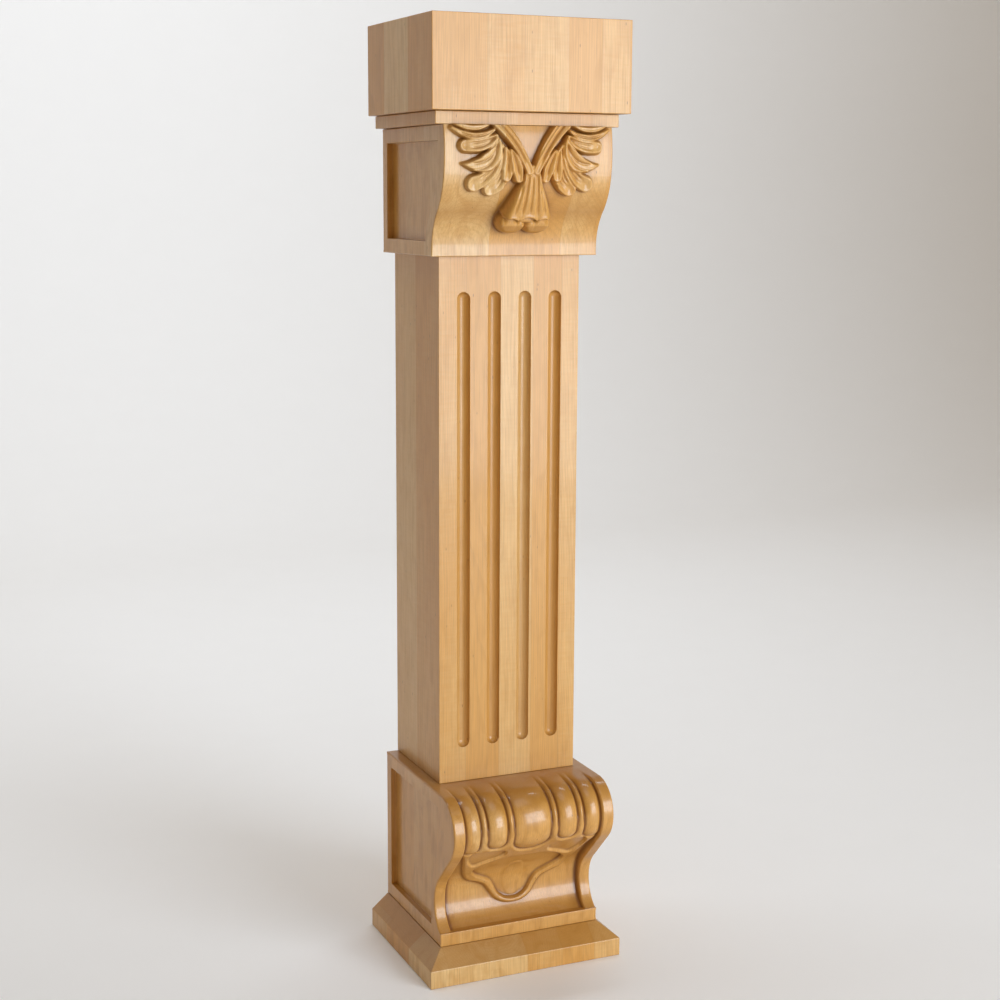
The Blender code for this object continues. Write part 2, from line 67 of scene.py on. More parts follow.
bl_info = {
    "name": "Fireplace Corbel",
    "version": (1, 0, 0),
    "blender": (4, 5, 0),
    "location": "3D View > Sidebar > Corbel",
    "description": "Finishes a carved and fluted maple mantel leg and lights it",
    "category": "Object",
}

MM = 0.001
BODY = "root"

# Fineness of the carved surfaces and of their smooth curves
SPINE_STEPS = 48
OUTLINE_STEPS = 6
ROUNDING_STEPS = 3
SUPPORT_MM = 0.3
FILL_REACH_MM = 0.00001
PLAIN_END_MM = 4.5

# The rounding of the long edges narrows towards a block's corners: its depth there and its growth
CORNER_TURN = math.radians(15)
CORNER_DROP_MM = 0.2
CORNER_GROWTH = 0.45
PANEL_STEPS = 48

# Leaf spray on its sheet, in millimetres across from the middle and down from the top edge. Each
# lobe has a spine from root to tip, half widths along it, the rise of its root and tip, and veins.
LEAF_LOBES = (
    {"spine": ((40, 24), (30, 62), (53, 74)), "widths": (3.0, 8.0, 12.0, 10.5), "rise": (10.0, 9.0),
     "veins": (-4.2, -0.6, 3.4)},
    {"spine": ((36, 27), (31, 46), (33.5, 60)), "widths": (2.5, 6.0, 8.5, 7.0), "rise": (12.0, 11.0),
     "veins": (0.0,)},
    {"spine": ((43, 21), (45, 58), (75, 69)), "widths": (3.0, 7.0, 8.5, 10.5), "rise": (11.0, 8.0),
     "veins": (-2.8, 1.8)},
    {"spine": ((46, 17), (50, 55), (92, 46)), "widths": (3.5, 9.5, 11.5, 8.0, 1.0), "rise": (12.0, 7.0),
     "veins": (-2.4, 4.6)},
    {"spine": ((30, 30), (21, 46), (18, 62)), "widths": (3.0, 7.0, 8.5, 6.5), "rise": (13.0, 12.5),
     "veins": (0.0,)},
    {"spine": ((48, 13), (62, 26), (88, 25)), "widths": (3.5, 8.5, 9.5, 8.5), "rise": (11.5, 7.5),
     "veins": (-3.0, 2.6)},
    {"spine": ((51, 6), (76, 22), (104, 4)), "widths": (3.0, 5.0, 5.0, 3.0), "rise": (11.5, 7.0),
     "veins": (0.6,)},
    {"spine": ((56, -1), (78, 9), (102, -2)), "widths": (2.5, 4.5, 4.5, 2.5), "rise": (10.5, 8.0),
     "veins": ()},
)
STEM = {"spine": ((45, -4), (21, 18), (5, 53)), "widths": (9.5, 8.0, 6.0), "rise": (12.0, 13.5),
        "veins": (-1.0, 4.6), "spread": 20.0, "depth": 2.9}
STALK_DOWN = (48, 64, 84, 103, 113)
STALK_HALF_WIDTHS = (9.0, 14.0, 24.0, 33.0, 30.0)
BELL_DOWN = (42, 56, 72, 88, 104, 116, 128, 140)
BELL_RISE = (12.5, 12.5, 14.5, 18.0, 21.5, 21.0, 18.0, 13.0)
BELL_LOBE = {"across": 16.5, "down": 119.5, "radius": 19.0}
BELL_MARGIN = 1.0
SCROLL_DOWN = 110.0
SCROLL_ARCHES = (
    {"across": 0.0, "half": 12.5, "height": 7.0},
    {"across": 21.5, "half": 9.0, "height": 5.5},
)
SCROLL_HALF = 31.0
SCROLL_CURL = {"depth": 7.0, "reach": 6.0}
SCROLL_PITS = {"across": 12.5, "down": 108.5, "depth": 5.0, "half": 2.4}
SCROLL_RIDGE = {"height": 1.3, "above": 2.2, "half": 1.8}
BELL_CLEFT = {"depth": 7.0, "half": 3.0, "down": 118.0, "reach": 16.0}
BELL_GROOVES = (
    {"across": 0.0, "end_across": 0.0, "down": 56.0, "end": 100.0, "depth": 2.0, "half": 1.5},
    {"across": 5.0, "end_across": 10.5, "down": 54.0, "end": 102.0, "depth": 2.4, "half": 1.7},
    {"across": 11.0, "end_across": 21.0, "down": 66.0, "end": 101.0, "depth": 1.9, "half": 1.7},
)
LOBE_EDGE = {"drop": 4.5, "width": 3.4}
LOBE_RIM = 1.5
LOBE_SCOOP = 0.24
VEIN = {"depth": 2.2, "half": 1.15, "root": 0.12, "tip": 0.92, "fade": 0.2}
VEIN_SPREAD = 1.5
LEAF_WALL = 2.4
BELL_WALL = 8.0
OVERLAP_BLEND = 0.8
OVERLAP_START = 0.5

# Base carving on its sheet, in millimetres across from the middle and up from the ledge
CARVING_SINK = 8.0
LOBE_RISE = 6.2
BEAD_RISE = 4.4
RIM_RISE = 4.8
FIELD_SINK = 2.4
ROLL_LOBES = (
    {"across": 0.0, "half": 26.0, "foot": 130.5},
    {"across": 49.5, "half": 13.5, "foot": 145.5},
    {"across": 85.0, "half": 11.5, "foot": 140.5},
)
ROLL_BEADS = (
    {"across": 31.2, "half": 4.6, "foot": 166.0},
    {"across": 68.4, "half": 4.6, "foot": 166.0},
)
SHELL_OUTLINE = (
    (0, 24.5), (14, 26.5), (26, 33.5), (34, 44.5), (42, 53.5), (55, 59.5), (67, 64),
    (75, 75.5), (81, 94.5), (86, 112.5), (91, 128.5), (96, 145), (96, 180), (0, 180),
)
FIELD_OUTLINE = (
    (0, 30.5), (11, 32.5), (21, 39.5), (27, 49.5), (34, 58.5), (45, 64.5), (56, 70.5),
    (63, 78.5), (64, 88.5), (55, 99.5), (40, 108.5), (20, 114.5), (0, 113.5),
)
DISH_OUTLINE = (
    (30, 126), (34, 136.5), (56, 141), (80, 139.5), (83, 124), (76, 107), (67, 99.5), (52, 107.5), (36, 116),
)
FIELD_SWELL = {"up": 60.0, "half": 18.0, "reach": 34.0, "rise": 3.2, "steep": 2.0}
FIELD_WALL = 3.0
RIM_EDGE = 4.0
DISH_SINK = 3.4
DISH_WALL = 4.0
BEAD_RUN_IN = 12.0
LOBE_TRENCH = {"depth": 2.4, "half": 2.2}
LOBE_GROOVE = 0.4
BORDER_WALL = 1.6

# Share of a layer that lies in front of the first glue line, counted from the block's foremost place
FIRST_LAYER = 0.45

# How deep a hollow is, in millimetres, when the painted shade in it looks fully dark; on the carving this
# darkening stands partly also for finish gathered there
FULL_HOLLOW_SHADE = {"capital": 3.2, "base": 1.7, "flute": 9.0}
HOLLOW_REACH = {"capital": 2.6, "base": 3.6}
HOLLOW_START = 0.3
BROAD_HOLLOW = 3.0
BROAD_SHARE = 0.25

# Wood of each solid: its finish's name, seed, warmth, blotches, painted shade in hollows and weight of
# lacquer
WOOD_LOOKS = {node: dict(zip(("name", "seed", "warmth", "blotches", "hollows", "coat"), values))
              for node, *values in (
                  ("base_block", "lacquered_maple_base", 9, 0.0, 0.6, 0.95, 0.45),
                  ("capital_block", "lacquered_maple_capital", 5, -0.1, 0.4, 0.62, 0.38),
                  ("fluted_shaft", "lacquered_maple_shaft", 7, -0.2, 0.2, 0.25, 0.24),
                  ("plinth", "lacquered_maple_plinth", 4, -0.15, 0.4, 0.0, 0.24),
                  ("neck_band", "lacquered_neck_maple", 13, -0.25, 0.22, 0.0, 0.24),
                  ("cap_block", "lacquered_cap_maple", 17, -0.25, 0.22, 0.0, 0.24))}

# Size of each pattern in the wood, in millimetres across and along the grain
WOOD_PATTERNS = {"wander": (70.0, 330.0), "fibre": (1.1, 60.0), "ripple": (26.0, 3.2),
                 "fleck": (11.0, 34.0), "blotch": (15.0, 42.0)}
SEED_STEP = (37.0, 11.0, 173.0)
LAYER_SHIFT = 900.0
STAVE_RANDOMNESS = 0.8
PITH_SPREAD = (260.0, 420.0, 0.0)
PITH_LEAN = (0.05, 0.09, 0.0)
WANDER_REACH = (26.0, 26.0, 0.0)
LATE_START = 0.45
LATE_END = 0.96
STAVE_CONTRAST = 1.1
WANDER_CONTRAST = 0.7
RIPPLE_CONTRAST = 0.22

# Where each mark begins and ends on its pattern, and its largest share of the colour
GLUE_WIDTH = 0.012
FLECK_RANGE = (0.02, 0.09)
BLOTCH_RANGE = (0.42, 0.72)
FIBRE_RANGE = (0.42, 0.75)
END_RANGE = (0.25, 1.0)
GLUE_SHARE = 0.3
RING_SHARE = 0.16
FLECK_SHARE = 0.55
FIBRE_SHARE = 0.42
END_SHARE = 0.78
SMOOTHER_FIBRE = 0.05
ROUGHER_FIBRE = 0.07
FIBRE_DEPTH_MM = 0.05

# Inputs of the fluted block, and the sums on them: name, operation and terms
FLUTE_INPUTS = {
    "Width": "Float", "Depth": "Float", "Length": "Float", "Back": "Float", "Foot": "Float",
    "Flutes": "Int", "Pitch": "Float", "Radius": "Float", "Set Out": "Float",
    "Foot Margin": "Float", "Top Margin": "Float", "Material": "Material"}
FLUTE_SUMS = (
    ("middle depth", "MULTIPLY_ADD", "Depth", -0.5, "Back"),
    ("middle height", "MULTIPLY_ADD", "Length", 0.5, "Foot"),
    ("margins", "ADD", "Foot Margin", "Top Margin"),
    ("flute length", "SUBTRACT", "Length", "margins"),
    ("nose", "MULTIPLY", "Radius", -1.0),
    ("reach", "MULTIPLY_ADD", "flute length", 0.5, "nose"),
    ("gaps", "SUBTRACT", "Flutes", 1.0),
    ("span", "MULTIPLY", "gaps", "Pitch"),
    ("first flute", "MULTIPLY", "span", -0.5),
    ("face", "SUBTRACT", "Back", "Depth"),
    ("cutter depth", "SUBTRACT", "face", "Set Out"),
    ("flute foot", "ADD", "Foot", "Foot Margin"),
    ("flute middle", "MULTIPLY_ADD", "flute length", 0.5, "flute foot"))
CUTTER_SEGMENTS = 64
CUTTER_RINGS = 33

# Soft boxes: name, power setting, place, target and size, in metres
SOFT_BOXES = (
    ("key_soft_box", "key", (1.35, -2.85, 1.05), (0, 0, 0.62), (1.9, 1.9)),
    ("top_soft_box", "top", (0.1, -0.7, 2.7), (0, 0, 0.62), (1.4, 1.4)),
    ("backdrop_soft_box", "backdrop", (0, 1.0, 3.4), (0, 3.9, 0.9), (4.0, 1.0)))

# Paper sweep in metres: half its width, its front edge, the start and radius of its curve, and its top
SWEEP = {"half": 5.0, "front": -5.0, "behind": 2.6, "radius": 1.6, "height": 6.0, "steps": 24}
FLOOR_GAP = 0.0002
SENSOR_MM = 36.0
UNCUT_FACES = 6
RIGHT = math.pi / 2
SHARP_ANGLE = math.radians(62)
EASED_ANGLE = math.radians(28)


def length(name, description, millimetres):
    """Length setting that is given in millimetres."""
    return FloatProperty(name=name, description=description, default=millimetres * MM,
                         unit="LENGTH", subtype="DISTANCE", precision=4)


def turn(name, description, degrees):
    """Angle setting that is given in degrees."""
    return FloatProperty(name=name, description=description, default=math.radians(degrees),
                         unit="ROTATION", subtype="ANGLE")


def linear(code):
    """Linear colour of an sRGB hex code."""
    shares = [int(code[index:index + 2], 16) / 255 for index in (1, 3, 5)]
    return tuple(share / 12.92 if share <= 0.04045 else ((share + 0.055) / 1.055) ** 2.4 for share in shares)


def colour(name, description, code):
    """Colour setting that is given as an sRGB hex code."""
    return FloatVectorProperty(name=name, description=description, default=linear(code),
                               subtype="COLOR", size=3, min=0, max=1)


class CorbelMaple(PropertyGroup):
    """Wood and finish."""

    pale: colour("Pale wood", "Sapwood of the lightest staves", "#eaca90")
    tan: colour("Tan wood", "Heartwood of the darkest staves", "#d69d50")
    grain: colour("Grain lines", "Latewood line that ends each year's growth", "#a6773c")
    end_grain: colour("End grain", "Wood cut across, which soaks up the finish", "#a26c26")
    # Colour of the painted shade in hollows; on the carving it stands partly also for finish gathered there
    hollow: colour("Hollows", "Finish that gathers in the carving's hollows", "#784614")
    blotch: colour("Blotches", "Places where the finish soaked in more", "#b87e2e")
    fleck: colour("Flecks", "Small mineral flecks", "#5f3517")
    stave_width: length("Stave width", "Usual width of one glued stave", 48.0)
    layer_depth: length("Layer depth", "Thickness of one glued layer", 84.0)
    ring_width: length("Ring width", "Growth of one year", 3.4)
    roughness: FloatProperty(name="Roughness", description="Satin of the lacquer", default=0.38,
                             min=0, max=1)


class CorbelBase(PropertyGroup):
    """Carved base block."""

    foot_band: length("Foot band", "Height of the plain band", 17.3)
    foot_depth: length("Foot depth", "Depth of the block at the plain band", 199.2)
    ledge: length("Ledge", "Step back from the band to the border", 2.0)
    cove_foot_radius: length("Lower cove radius", "Radius of the cove under its deepest place", 44.0)
    cove_foot_turn: turn("Lower cove turn", "Turn of the cove under its deepest place", 57.2)
    cove_radius: length("Upper cove radius", "Radius of the cove over its deepest place", 48.3)
    sweep_run: length("Sweep run", "Straight length between cove and roll", 60.3)
    sweep_slope: turn("Sweep slope", "Slope of the straight length", 45.0)
    roll_radius: length("Roll radius", "Radius of the roll", 43.5)
    top_run: length("Top run", "Flat length over the roll that the carving fades on", 33.0)
    carving_fade: length("Carving fade", "Length that the lobes take to fade out", 59.0)
    border: length("Border", "Width of the raised border", 16.4)
    arris: length("Arris", "Rounding of the long edges", 1.8)
    fineness: length("Fineness", "Spacing of the carved surface's points", 0.88)
    sanding: length("Sanding", "Softness that sanding gives the carving", 0.75)


class CorbelCapital(PropertyGroup):
    """Carved capital block."""

    foot_band: length("Foot band", "Height of the plain band", 6.5)
    foot_depth: length("Foot depth", "Depth of the block at the plain band", 172.1)
    hollow_radius: length("Hollow radius", "Radius of the hollow that sweeps out", 70.0)
    hollow_turn: turn("Hollow turn", "Turn of the hollow", 42.7)
    shoulder_radius: length("Shoulder radius", "Radius of the shoulder", 86.0)
    shoulder_turn: turn("Shoulder turn", "Turn of the shoulder", 34.0)
    crown_radius: length("Crown radius", "Radius of the crown under the neck", 169.0)
    crown_turn: turn("Crown turn", "Turn of the crown", 20.0)
    arris: length("Arris", "Rounding of the long edges", 1.2)
    fineness: length("Fineness", "Spacing of the carved surface's points", 0.68)
    sanding: length("Sanding", "Softness that sanding gives the carving", 0.5)


class CorbelPanels(PropertyGroup):
    """Sunk panels in the sides of both carved blocks."""

    recess: length("Recess", "Depth of a panel", 8.0)
    back_stile: length("Back stile", "Wood left behind a panel", 16.0)
    rail: length("Rail", "Wood left over and under a panel", 18.5)
    capital_border: length("Capital border", "Wood left in front of the capital's panel", 22.0)
    base_border: length("Base border", "Wood left in front of the base's panel at the cove", 11.0)
    base_sway: FloatProperty(name="Base sway", description="Share of the roll that the panel's edge follows",
                             default=0.4, min=0, max=1, subtype="FACTOR")
    edge: length("Edge", "Rounding of a panel's edge", 0.8)


class CorbelShaft(PropertyGroup):
    """Fluted shaft."""

    flutes: IntProperty(name="Flutes", description="Number of flutes", default=4, min=1, max=12)
    pitch: length("Pitch", "Distance between flutes", 42.1)
    radius: length("Radius", "Radius of the round cutter", 8.8)
    set_out: length("Set out", "Cutter's middle in front of the face", 1.3)
    foot_margin: length("Foot margin", "Plain face under the flutes", 45.5)
    top_margin: length("Top margin", "Plain face over the flutes", 44.5)
    lip: length("Lip", "Rounding of the flutes' edges", 0.5)


class CorbelBlocks(PropertyGroup):
    """Plain blocks: plinth, neck band and cap."""

    plinth_face: length("Plinth face", "Height of the plinth's upright face", 23.8)
    edge: length("Edge", "Rounding of the blocks' edges", 0.9)


class CorbelStudio(PropertyGroup):
    """Floor, lights and camera."""

    floor: colour("Floor", "Pale paper sweep", "#f9f6f2")
    eye: FloatVectorProperty(name="Eye", description="Place of the camera", size=3,
                             default=(-0.9119, -2.0769, 1.0112), subtype="TRANSLATION", unit="LENGTH")
    look: FloatVectorProperty(name="Look", description="Point that the camera faces",
                              default=(0.0096, 0.0174, 0.6106), subtype="TRANSLATION", unit="LENGTH", size=3)
    roll: turn("Roll", "Lean of the camera", 0.26)
    lens: FloatProperty(name="Lens", description="Focal length in millimetres on a 36 mm wide frame",
                        default=63.41, min=1)
    air: colour("Air", "Slightly warm light of the surround", "#ffd99a")
    surround: FloatProperty(name="Surround", description="Brightness of the surround", default=0.2, min=0)
    flash: colour("Flash", "Slightly cool light of the soft boxes", "#e5f1ff")
    key: FloatProperty(name="Key", description="Power of the large soft box at the front right",
                       default=98.0, min=0, unit="POWER")
    top: FloatProperty(name="Top", description="Power of the soft box overhead", default=10.0,
                       min=0, unit="POWER")
    backdrop: FloatProperty(name="Backdrop", description="Power of the soft box that whitens the backdrop",
                            default=100.0, min=0, unit="POWER")


def quarter_round(share):
    """Rise from 0 to 1 along a quarter circle."""
    rest = 1 - np.clip(share, 0, 1)
    return np.sqrt(1 - rest * rest)


def ease(share):
    """Rise from 0 to 1 that starts and ends level."""
    share = np.clip(share, 0, 1)
    return share * share * (3 - 2 * share)


def bend(spine):
    """Points along the bend that three control points give."""
    start, middle, end = (np.array(point, float) for point in spine)
    share = np.linspace(0, 1, SPINE_STEPS + 1)[:, None]
    return (1 - share) ** 2 * start + 2 * share * (1 - share) * middle + share ** 2 * end


def rounded_outline(half):
    """Closed outline, smooth through the points of its right half and their mirror image."""
    right = [np.array(point, float) for point in half]
    left = [point * (-1, 1) for point in reversed(right) if point[0] > 0]
    return smooth_loop(right + left)


def smooth_loop(points):
    """Closed smooth curve through the points."""
    outline = []
    for index, point in enumerate(points):
        before = points[index - 1]
        after = points[(index + 1) % len(points)]
        beyond = points[(index + 2) % len(points)]
        for share in np.arange(OUTLINE_STEPS) / OUTLINE_STEPS:
            outline.append(0.5 * (2 * point + (after - before) * share
                                  + (2 * before - 5 * point + 4 * after - beyond) * share ** 2
                                  + (3 * point - before - 3 * after + beyond) * share ** 3))
    return np.array(outline)


def in_stroke(x, y, spine, widths):
    """How far inside a bent stroke each place lies, its offset to one side, and its share of the way."""
    share = np.linspace(0, 1, len(spine))
    radius = np.interp(share, np.linspace(0, 1, len(widths)), widths)
    inside = np.full(x.shape, -np.inf)
    aside = np.zeros(x.shape)
    travel = np.zeros(x.shape)
    for index in range(len(spine) - 1):
        start = spine[index]
        along = spine[index + 1] - start
        place = ((x - start[0]) * along[0] + (y - start[1]) * along[1]) / along.dot(along)
        place = np.clip(place, 0, 1)
        off_x = x - start[0] - place * along[0]
        off_y = y - start[1] - place * along[1]
        here = radius[index] + place * (radius[index + 1] - radius[index]) - np.hypot(off_x, off_y)
        side = (along[0] * off_y - along[1] * off_x) / np.hypot(*along)
        closer = here > inside
        inside = np.where(closer, here, inside)
        aside = np.where(closer, side, aside)
        travel = np.where(closer, share[index] + place * (share[index + 1] - share[index]), travel)
    return inside, aside, travel


def in_outline(x, y, outline):
    """How far inside a closed outline each place lies, negative outside it."""
    away = np.full(x.shape, np.inf)
    inside = np.zeros(x.shape, bool)
    for start, end in zip(outline, np.roll(outline, -1, axis=0)):
        along = end - start
        place = ((x - start[0]) * along[0] + (y - start[1]) * along[1]) / along.dot(along)
        place = np.clip(place, 0, 1)
        away = np.minimum(away, np.hypot(x - start[0] - place * along[0], y - start[1] - place * along[1]))
        crosses = (start[1] > y) != (end[1] > y)
        rise = along[1] if along[1] else 1.0
        inside ^= crosses & (x < start[0] + (y - start[1]) * along[0] / rise)
    return np.where(inside, away, -away)


def lay_over(level, inside, form):
    """Lay one form over the carving so far, from its edge inwards."""
    share = ease(inside / OVERLAP_BLEND + OVERLAP_START)
    return level * (1 - share) + form * share


def groove(offset, half):
    """Share of a groove's depth at an offset from its middle."""
    return np.exp(-(offset / half) ** 2)


def scroll_line(x):
    """Height of the scalloped lip where the bell curls under."""
    line = np.full(x.shape, SCROLL_DOWN)
    for arch in SCROLL_ARCHES:
        share = np.clip(1 - ((x - arch["across"]) / arch["half"]) ** 2, 0, 1)
        line = np.minimum(line, SCROLL_DOWN - arch["height"] * np.sqrt(share))
    return line


def bell(x, y):
    """Stalk that flares to a bell and curls under in two lobes: inside distance and level."""
    half = np.interp(y, STALK_DOWN, STALK_HALF_WIDTHS)
    stalk = np.minimum(half - x, np.minimum(y - STALK_DOWN[0], STALK_DOWN[-1] - y) + LEAF_WALL)
    lobe = BELL_LOBE["radius"] - np.hypot(x - BELL_LOBE["across"], y - BELL_LOBE["down"])
    level = np.interp(y, BELL_DOWN, BELL_RISE)
    lip = scroll_line(x)
    level += SCROLL_RIDGE["height"] * groove(y - lip + SCROLL_RIDGE["above"], SCROLL_RIDGE["half"])
    under = np.clip(y - lip, 0, None)
    curl = np.where(under > 0, SCROLL_CURL["depth"] * np.exp(-under / SCROLL_CURL["reach"]), 0)
    level -= curl * ease((SCROLL_HALF - x) / LEAF_WALL)
    pit = np.hypot(x - SCROLL_PITS["across"], y - SCROLL_PITS["down"])
    level -= SCROLL_PITS["depth"] * groove(pit, SCROLL_PITS["half"])
    low_down = ease((y - BELL_CLEFT["down"]) / BELL_CLEFT["reach"])
    level -= BELL_CLEFT["depth"] * groove(x, BELL_CLEFT["half"]) * low_down
    for form in BELL_GROOVES:
        middle = np.interp(y, (form["down"], form["end"]), (form["across"], form["end_across"]))
        ends = ease(np.minimum(y - form["down"], form["end"] - y) / BELL_WALL)
        level -= form["depth"] * groove(x - middle, form["half"]) * ends
    return np.maximum(stalk, lobe), level


def leaf_lobe(x, y, form):
    """One lobe of a leaf, or a stem, with its rim, scoop and veins: inside distance and level."""
    inside, aside, travel = in_stroke(x, y, bend(form["spine"]), form["widths"])
    half = np.interp(travel, np.linspace(0, 1, len(form["widths"])), form["widths"])
    root, tip = form["rise"]
    level = root + (tip - root) * travel ** 3
    level -= LOBE_EDGE["drop"] * (1 - quarter_round(inside / LOBE_EDGE["width"]))
    level -= LOBE_SCOOP * half * ease((inside - LOBE_RIM) / np.maximum(half - LOBE_RIM, LOBE_RIM))
    shown = ease(travel / VEIN["root"]) * ease((VEIN["tip"] - travel) / VEIN["fade"])
    for vein in form["veins"]:
        offset = aside - vein * ease(travel * form.get("spread", VEIN_SPREAD))
        level -= form.get("depth", VEIN["depth"]) * groove(offset, VEIN["half"]) * shown
    return inside, level


def leaf_relief(across, down):
    """Rise of the capital's two leaf sprays, stems and bell above the plain front."""
    x = np.abs(across)
    covered, level = bell(x, down)
    for form in LEAF_LOBES + (STEM,):
        inside, form_level = leaf_lobe(x, down, form)
        level = lay_over(level, inside, form_level)
        covered = np.maximum(covered, inside)
    beside = ease(BELL_LOBE["across"] + BELL_LOBE["radius"] + BELL_MARGIN - x)
    below = ease((down - STALK_DOWN[1]) / BELL_WALL)
    wall = LEAF_WALL + (BELL_WALL - LEAF_WALL) * beside * below
    return np.where(covered > 0, level, 0) * quarter_round(covered / wall)


def roll_relief(across, up, field_half):
    """Depth of the base's sunk carving: lobes over the roll, and a shell under them."""
    x = np.abs(across)
    ground = -CARVING_SINK
    level = np.full(x.shape, ground)
    rim = ground + RIM_RISE
    shell = in_outline(x, up, rounded_outline(SHELL_OUTLINE))
    level = lay_over(level, shell, rim - RIM_RISE * (1 - quarter_round(shell / RIM_EDGE)))
    dish = in_outline(x, up, smooth_loop([np.array(point, float) for point in DISH_OUTLINE]))
    level = level - DISH_SINK * quarter_round(dish / DISH_WALL)
    field = in_outline(x, up, rounded_outline(FIELD_OUTLINE))
    round_share = 1 - (x / FIELD_SWELL["half"]) ** 2 - ((up - FIELD_SWELL["up"]) / FIELD_SWELL["reach"]) ** 2
    floor = ground - FIELD_SINK + FIELD_SWELL["rise"] * ease(round_share * FIELD_SWELL["steep"])
    level = np.where(field > 0, level + (floor - level) * quarter_round(field / FIELD_WALL), level)
    for form in ROLL_BEADS:
        inside = form["half"] - np.abs(x - form["across"])
        share = np.where(inside > 0, ease((up - form["foot"]) / BEAD_RUN_IN), 0)
        level = level * (1 - share) + (ground + BEAD_RISE * quarter_round(inside / form["half"])) * share
    for form in ROLL_LOBES:
        below = np.minimum(up - form["foot"] - form["half"], 0)
        inside = form["half"] - np.hypot(x - form["across"], below)
        crown = ground + LOBE_RISE * quarter_round(inside / form["half"])
        trench = LOBE_TRENCH["depth"] * groove(inside, LOBE_TRENCH["half"])
        level = lay_over(np.maximum(level - trench, ground), inside + LOBE_GROOVE, crown)
    return level * ease((field_half - x) / BORDER_WALL + 0.5)


def soften(level, radius, spacing):
    """Blur a grid of heights over a radius, as sanding does."""
    reach = max(1, math.ceil(3 * radius / spacing))
    offsets = np.arange(-reach, reach + 1)
    weights = np.exp(-0.5 * (offsets * spacing / radius) ** 2)
    weights /= weights.sum()
    for axis in (0, 1):
        padded = np.pad(level, [(reach, reach) if side == axis else (0, 0) for side in (0, 1)], "edge")
        size = level.shape[axis]
        level = sum(weight * np.take(padded, range(offset + reach, offset + reach + size), axis)
                    for weight, offset in zip(weights, offsets))
    return level


def outline_rows(depth, height, heading, moves):
    """Rows along a block's outline, from runs and arcs: place, outward normal and travel, in millimetres.

    A heading of 0 is straight up, a positive one leans out to the front. A move is a length, a turn
    and the spacing of its rows; a plain run with no spacing keeps only its ends, with supports.
    """
    rows = []
    travel = 0.0
    for distance, angle, spacing in moves:
        if spacing:
            count = max(1, round(distance / spacing))
            pieces = [distance / count] * count
        else:
            pieces = [PLAIN_END_MM, distance - 2 * PLAIN_END_MM, PLAIN_END_MM]
        for piece in pieces:
            rows.append((depth, height, math.cos(heading), -math.sin(heading), travel))
            swing = angle * piece / distance
            depth += piece * math.sin(heading + swing / 2)
            height += piece * math.cos(heading + swing / 2)
            travel += piece
            heading += swing
    rows.append((depth, height, math.cos(heading), -math.sin(heading), travel))
    return np.array(rows)


def arc(radius, angle, spacing=None):
    """Move along an arc."""
    distance = radius * abs(angle)
    return distance, angle, spacing or distance / ROUNDING_STEPS


def columns_across(width, arris, spacing):
    """Places across a block, and the drop of its rounded arrises there."""
    flat = width / 2 - arris
    count = round(2 * flat / spacing)
    middle = np.linspace(-flat, flat, count + 1)
    angles = np.linspace(0, RIGHT, ROUNDING_STEPS + 1)[1:]
    edge = flat + arris * np.sin(angles)
    fall = arris * (1 - np.cos(angles))
    edge = np.append(edge, edge[-1])
    fall = np.append(fall, fall[-1] + SUPPORT_MM)
    across = np.concatenate([-edge[::-1], middle, edge])
    drop = np.concatenate([fall[::-1], np.zeros(len(middle)), fall])
    return across, drop


def squared_off(edge, levels, panels):
    """Outline of a side panel, anticlockwise, from its curved front edge to its upright back."""
    back = panels.back_stile / MM
    return np.array([(back, levels[0]), *zip(edge, levels), (back, levels[-1])])


def inset_outline(points, distance):
    """Move a closed outline inwards by a distance; it runs anticlockwise."""
    before = points - np.roll(points, 1, axis=0)
    after = np.roll(points, -1, axis=0) - points
    before /= np.linalg.norm(before, axis=1)[:, None]
    after /= np.linalg.norm(after, axis=1)[:, None]
    first = np.column_stack([-before[:, 1], before[:, 0]])
    second = np.column_stack([-after[:, 1], after[:, 0]])
    reach = 1 + (first * second).sum(axis=1)
    return points + (first + second) / reach[:, None] * distance


def fill_band(model, loop, hole):
    """Fill the flat band between an upright outline and the hole in it with triangles."""
    corners = loop + hole
    places = [Vector((corner.co.y, corner.co.z)) / MM for corner in corners]
    count = len(loop)
    edges = [(index, (index + 1) % count) for index in range(count)]
    edges += [(count + index, count + (index + 1) % len(hole)) for index in range(len(hole))]
    found, _, faces, sources, _, _ = delaunay_2d_cdt(places, edges, [], 1, FILL_REACH_MM)
    if len(found) != len(corners):
        raise RuntimeError("The side of a block can't be filled: its outlines cross")
    middles = np.array([sum((found[index] for index in face), Vector((0, 0))) / len(face) for face in faces])
    inside = in_outline(middles[:, 0], middles[:, 1], np.array(places[count:]))
    for face, depth in zip(faces, inside):
        if depth < 0:
            model.faces.new([corners[sources[index][0]] for index in face])


def close_side(model, loop, side, half_width, outline, to_place):
    """Close a block's side over its open loop, with a sunk panel in it."""
    panels = bpy.context.scene.corbel_panels
    recess = panels.recess / MM
    edge = panels.edge / MM
    angles = np.linspace(0, RIGHT, ROUNDING_STEPS + 1)
    steps = [(-edge - SUPPORT_MM, 0.0)]
    steps += [(-edge * (1 - math.sin(angle)), edge * (1 - math.cos(angle))) for angle in angles]
    steps += [(0.0, recess - edge)]
    steps += [(edge * (1 - math.cos(angle)), recess - edge * (1 - math.sin(angle))) for angle in angles[1:]]
    steps += [(edge + SUPPORT_MM, recess)]
    rings = []
    for inset, sunk in steps:
        points = inset_outline(outline, inset)
        rings.append([model.verts.new(to_place(side * (half_width - sunk), depth, height))
                      for depth, height in points])
    fill_band(model, loop, rings[0])
    for outer, inner in zip(rings, rings[1:]):
        for index in range(len(outer)):
            after = (index + 1) % len(outer)
            model.faces.new((outer[index], outer[after], inner[after], inner[index]))
    model.faces.new(rings[-1])


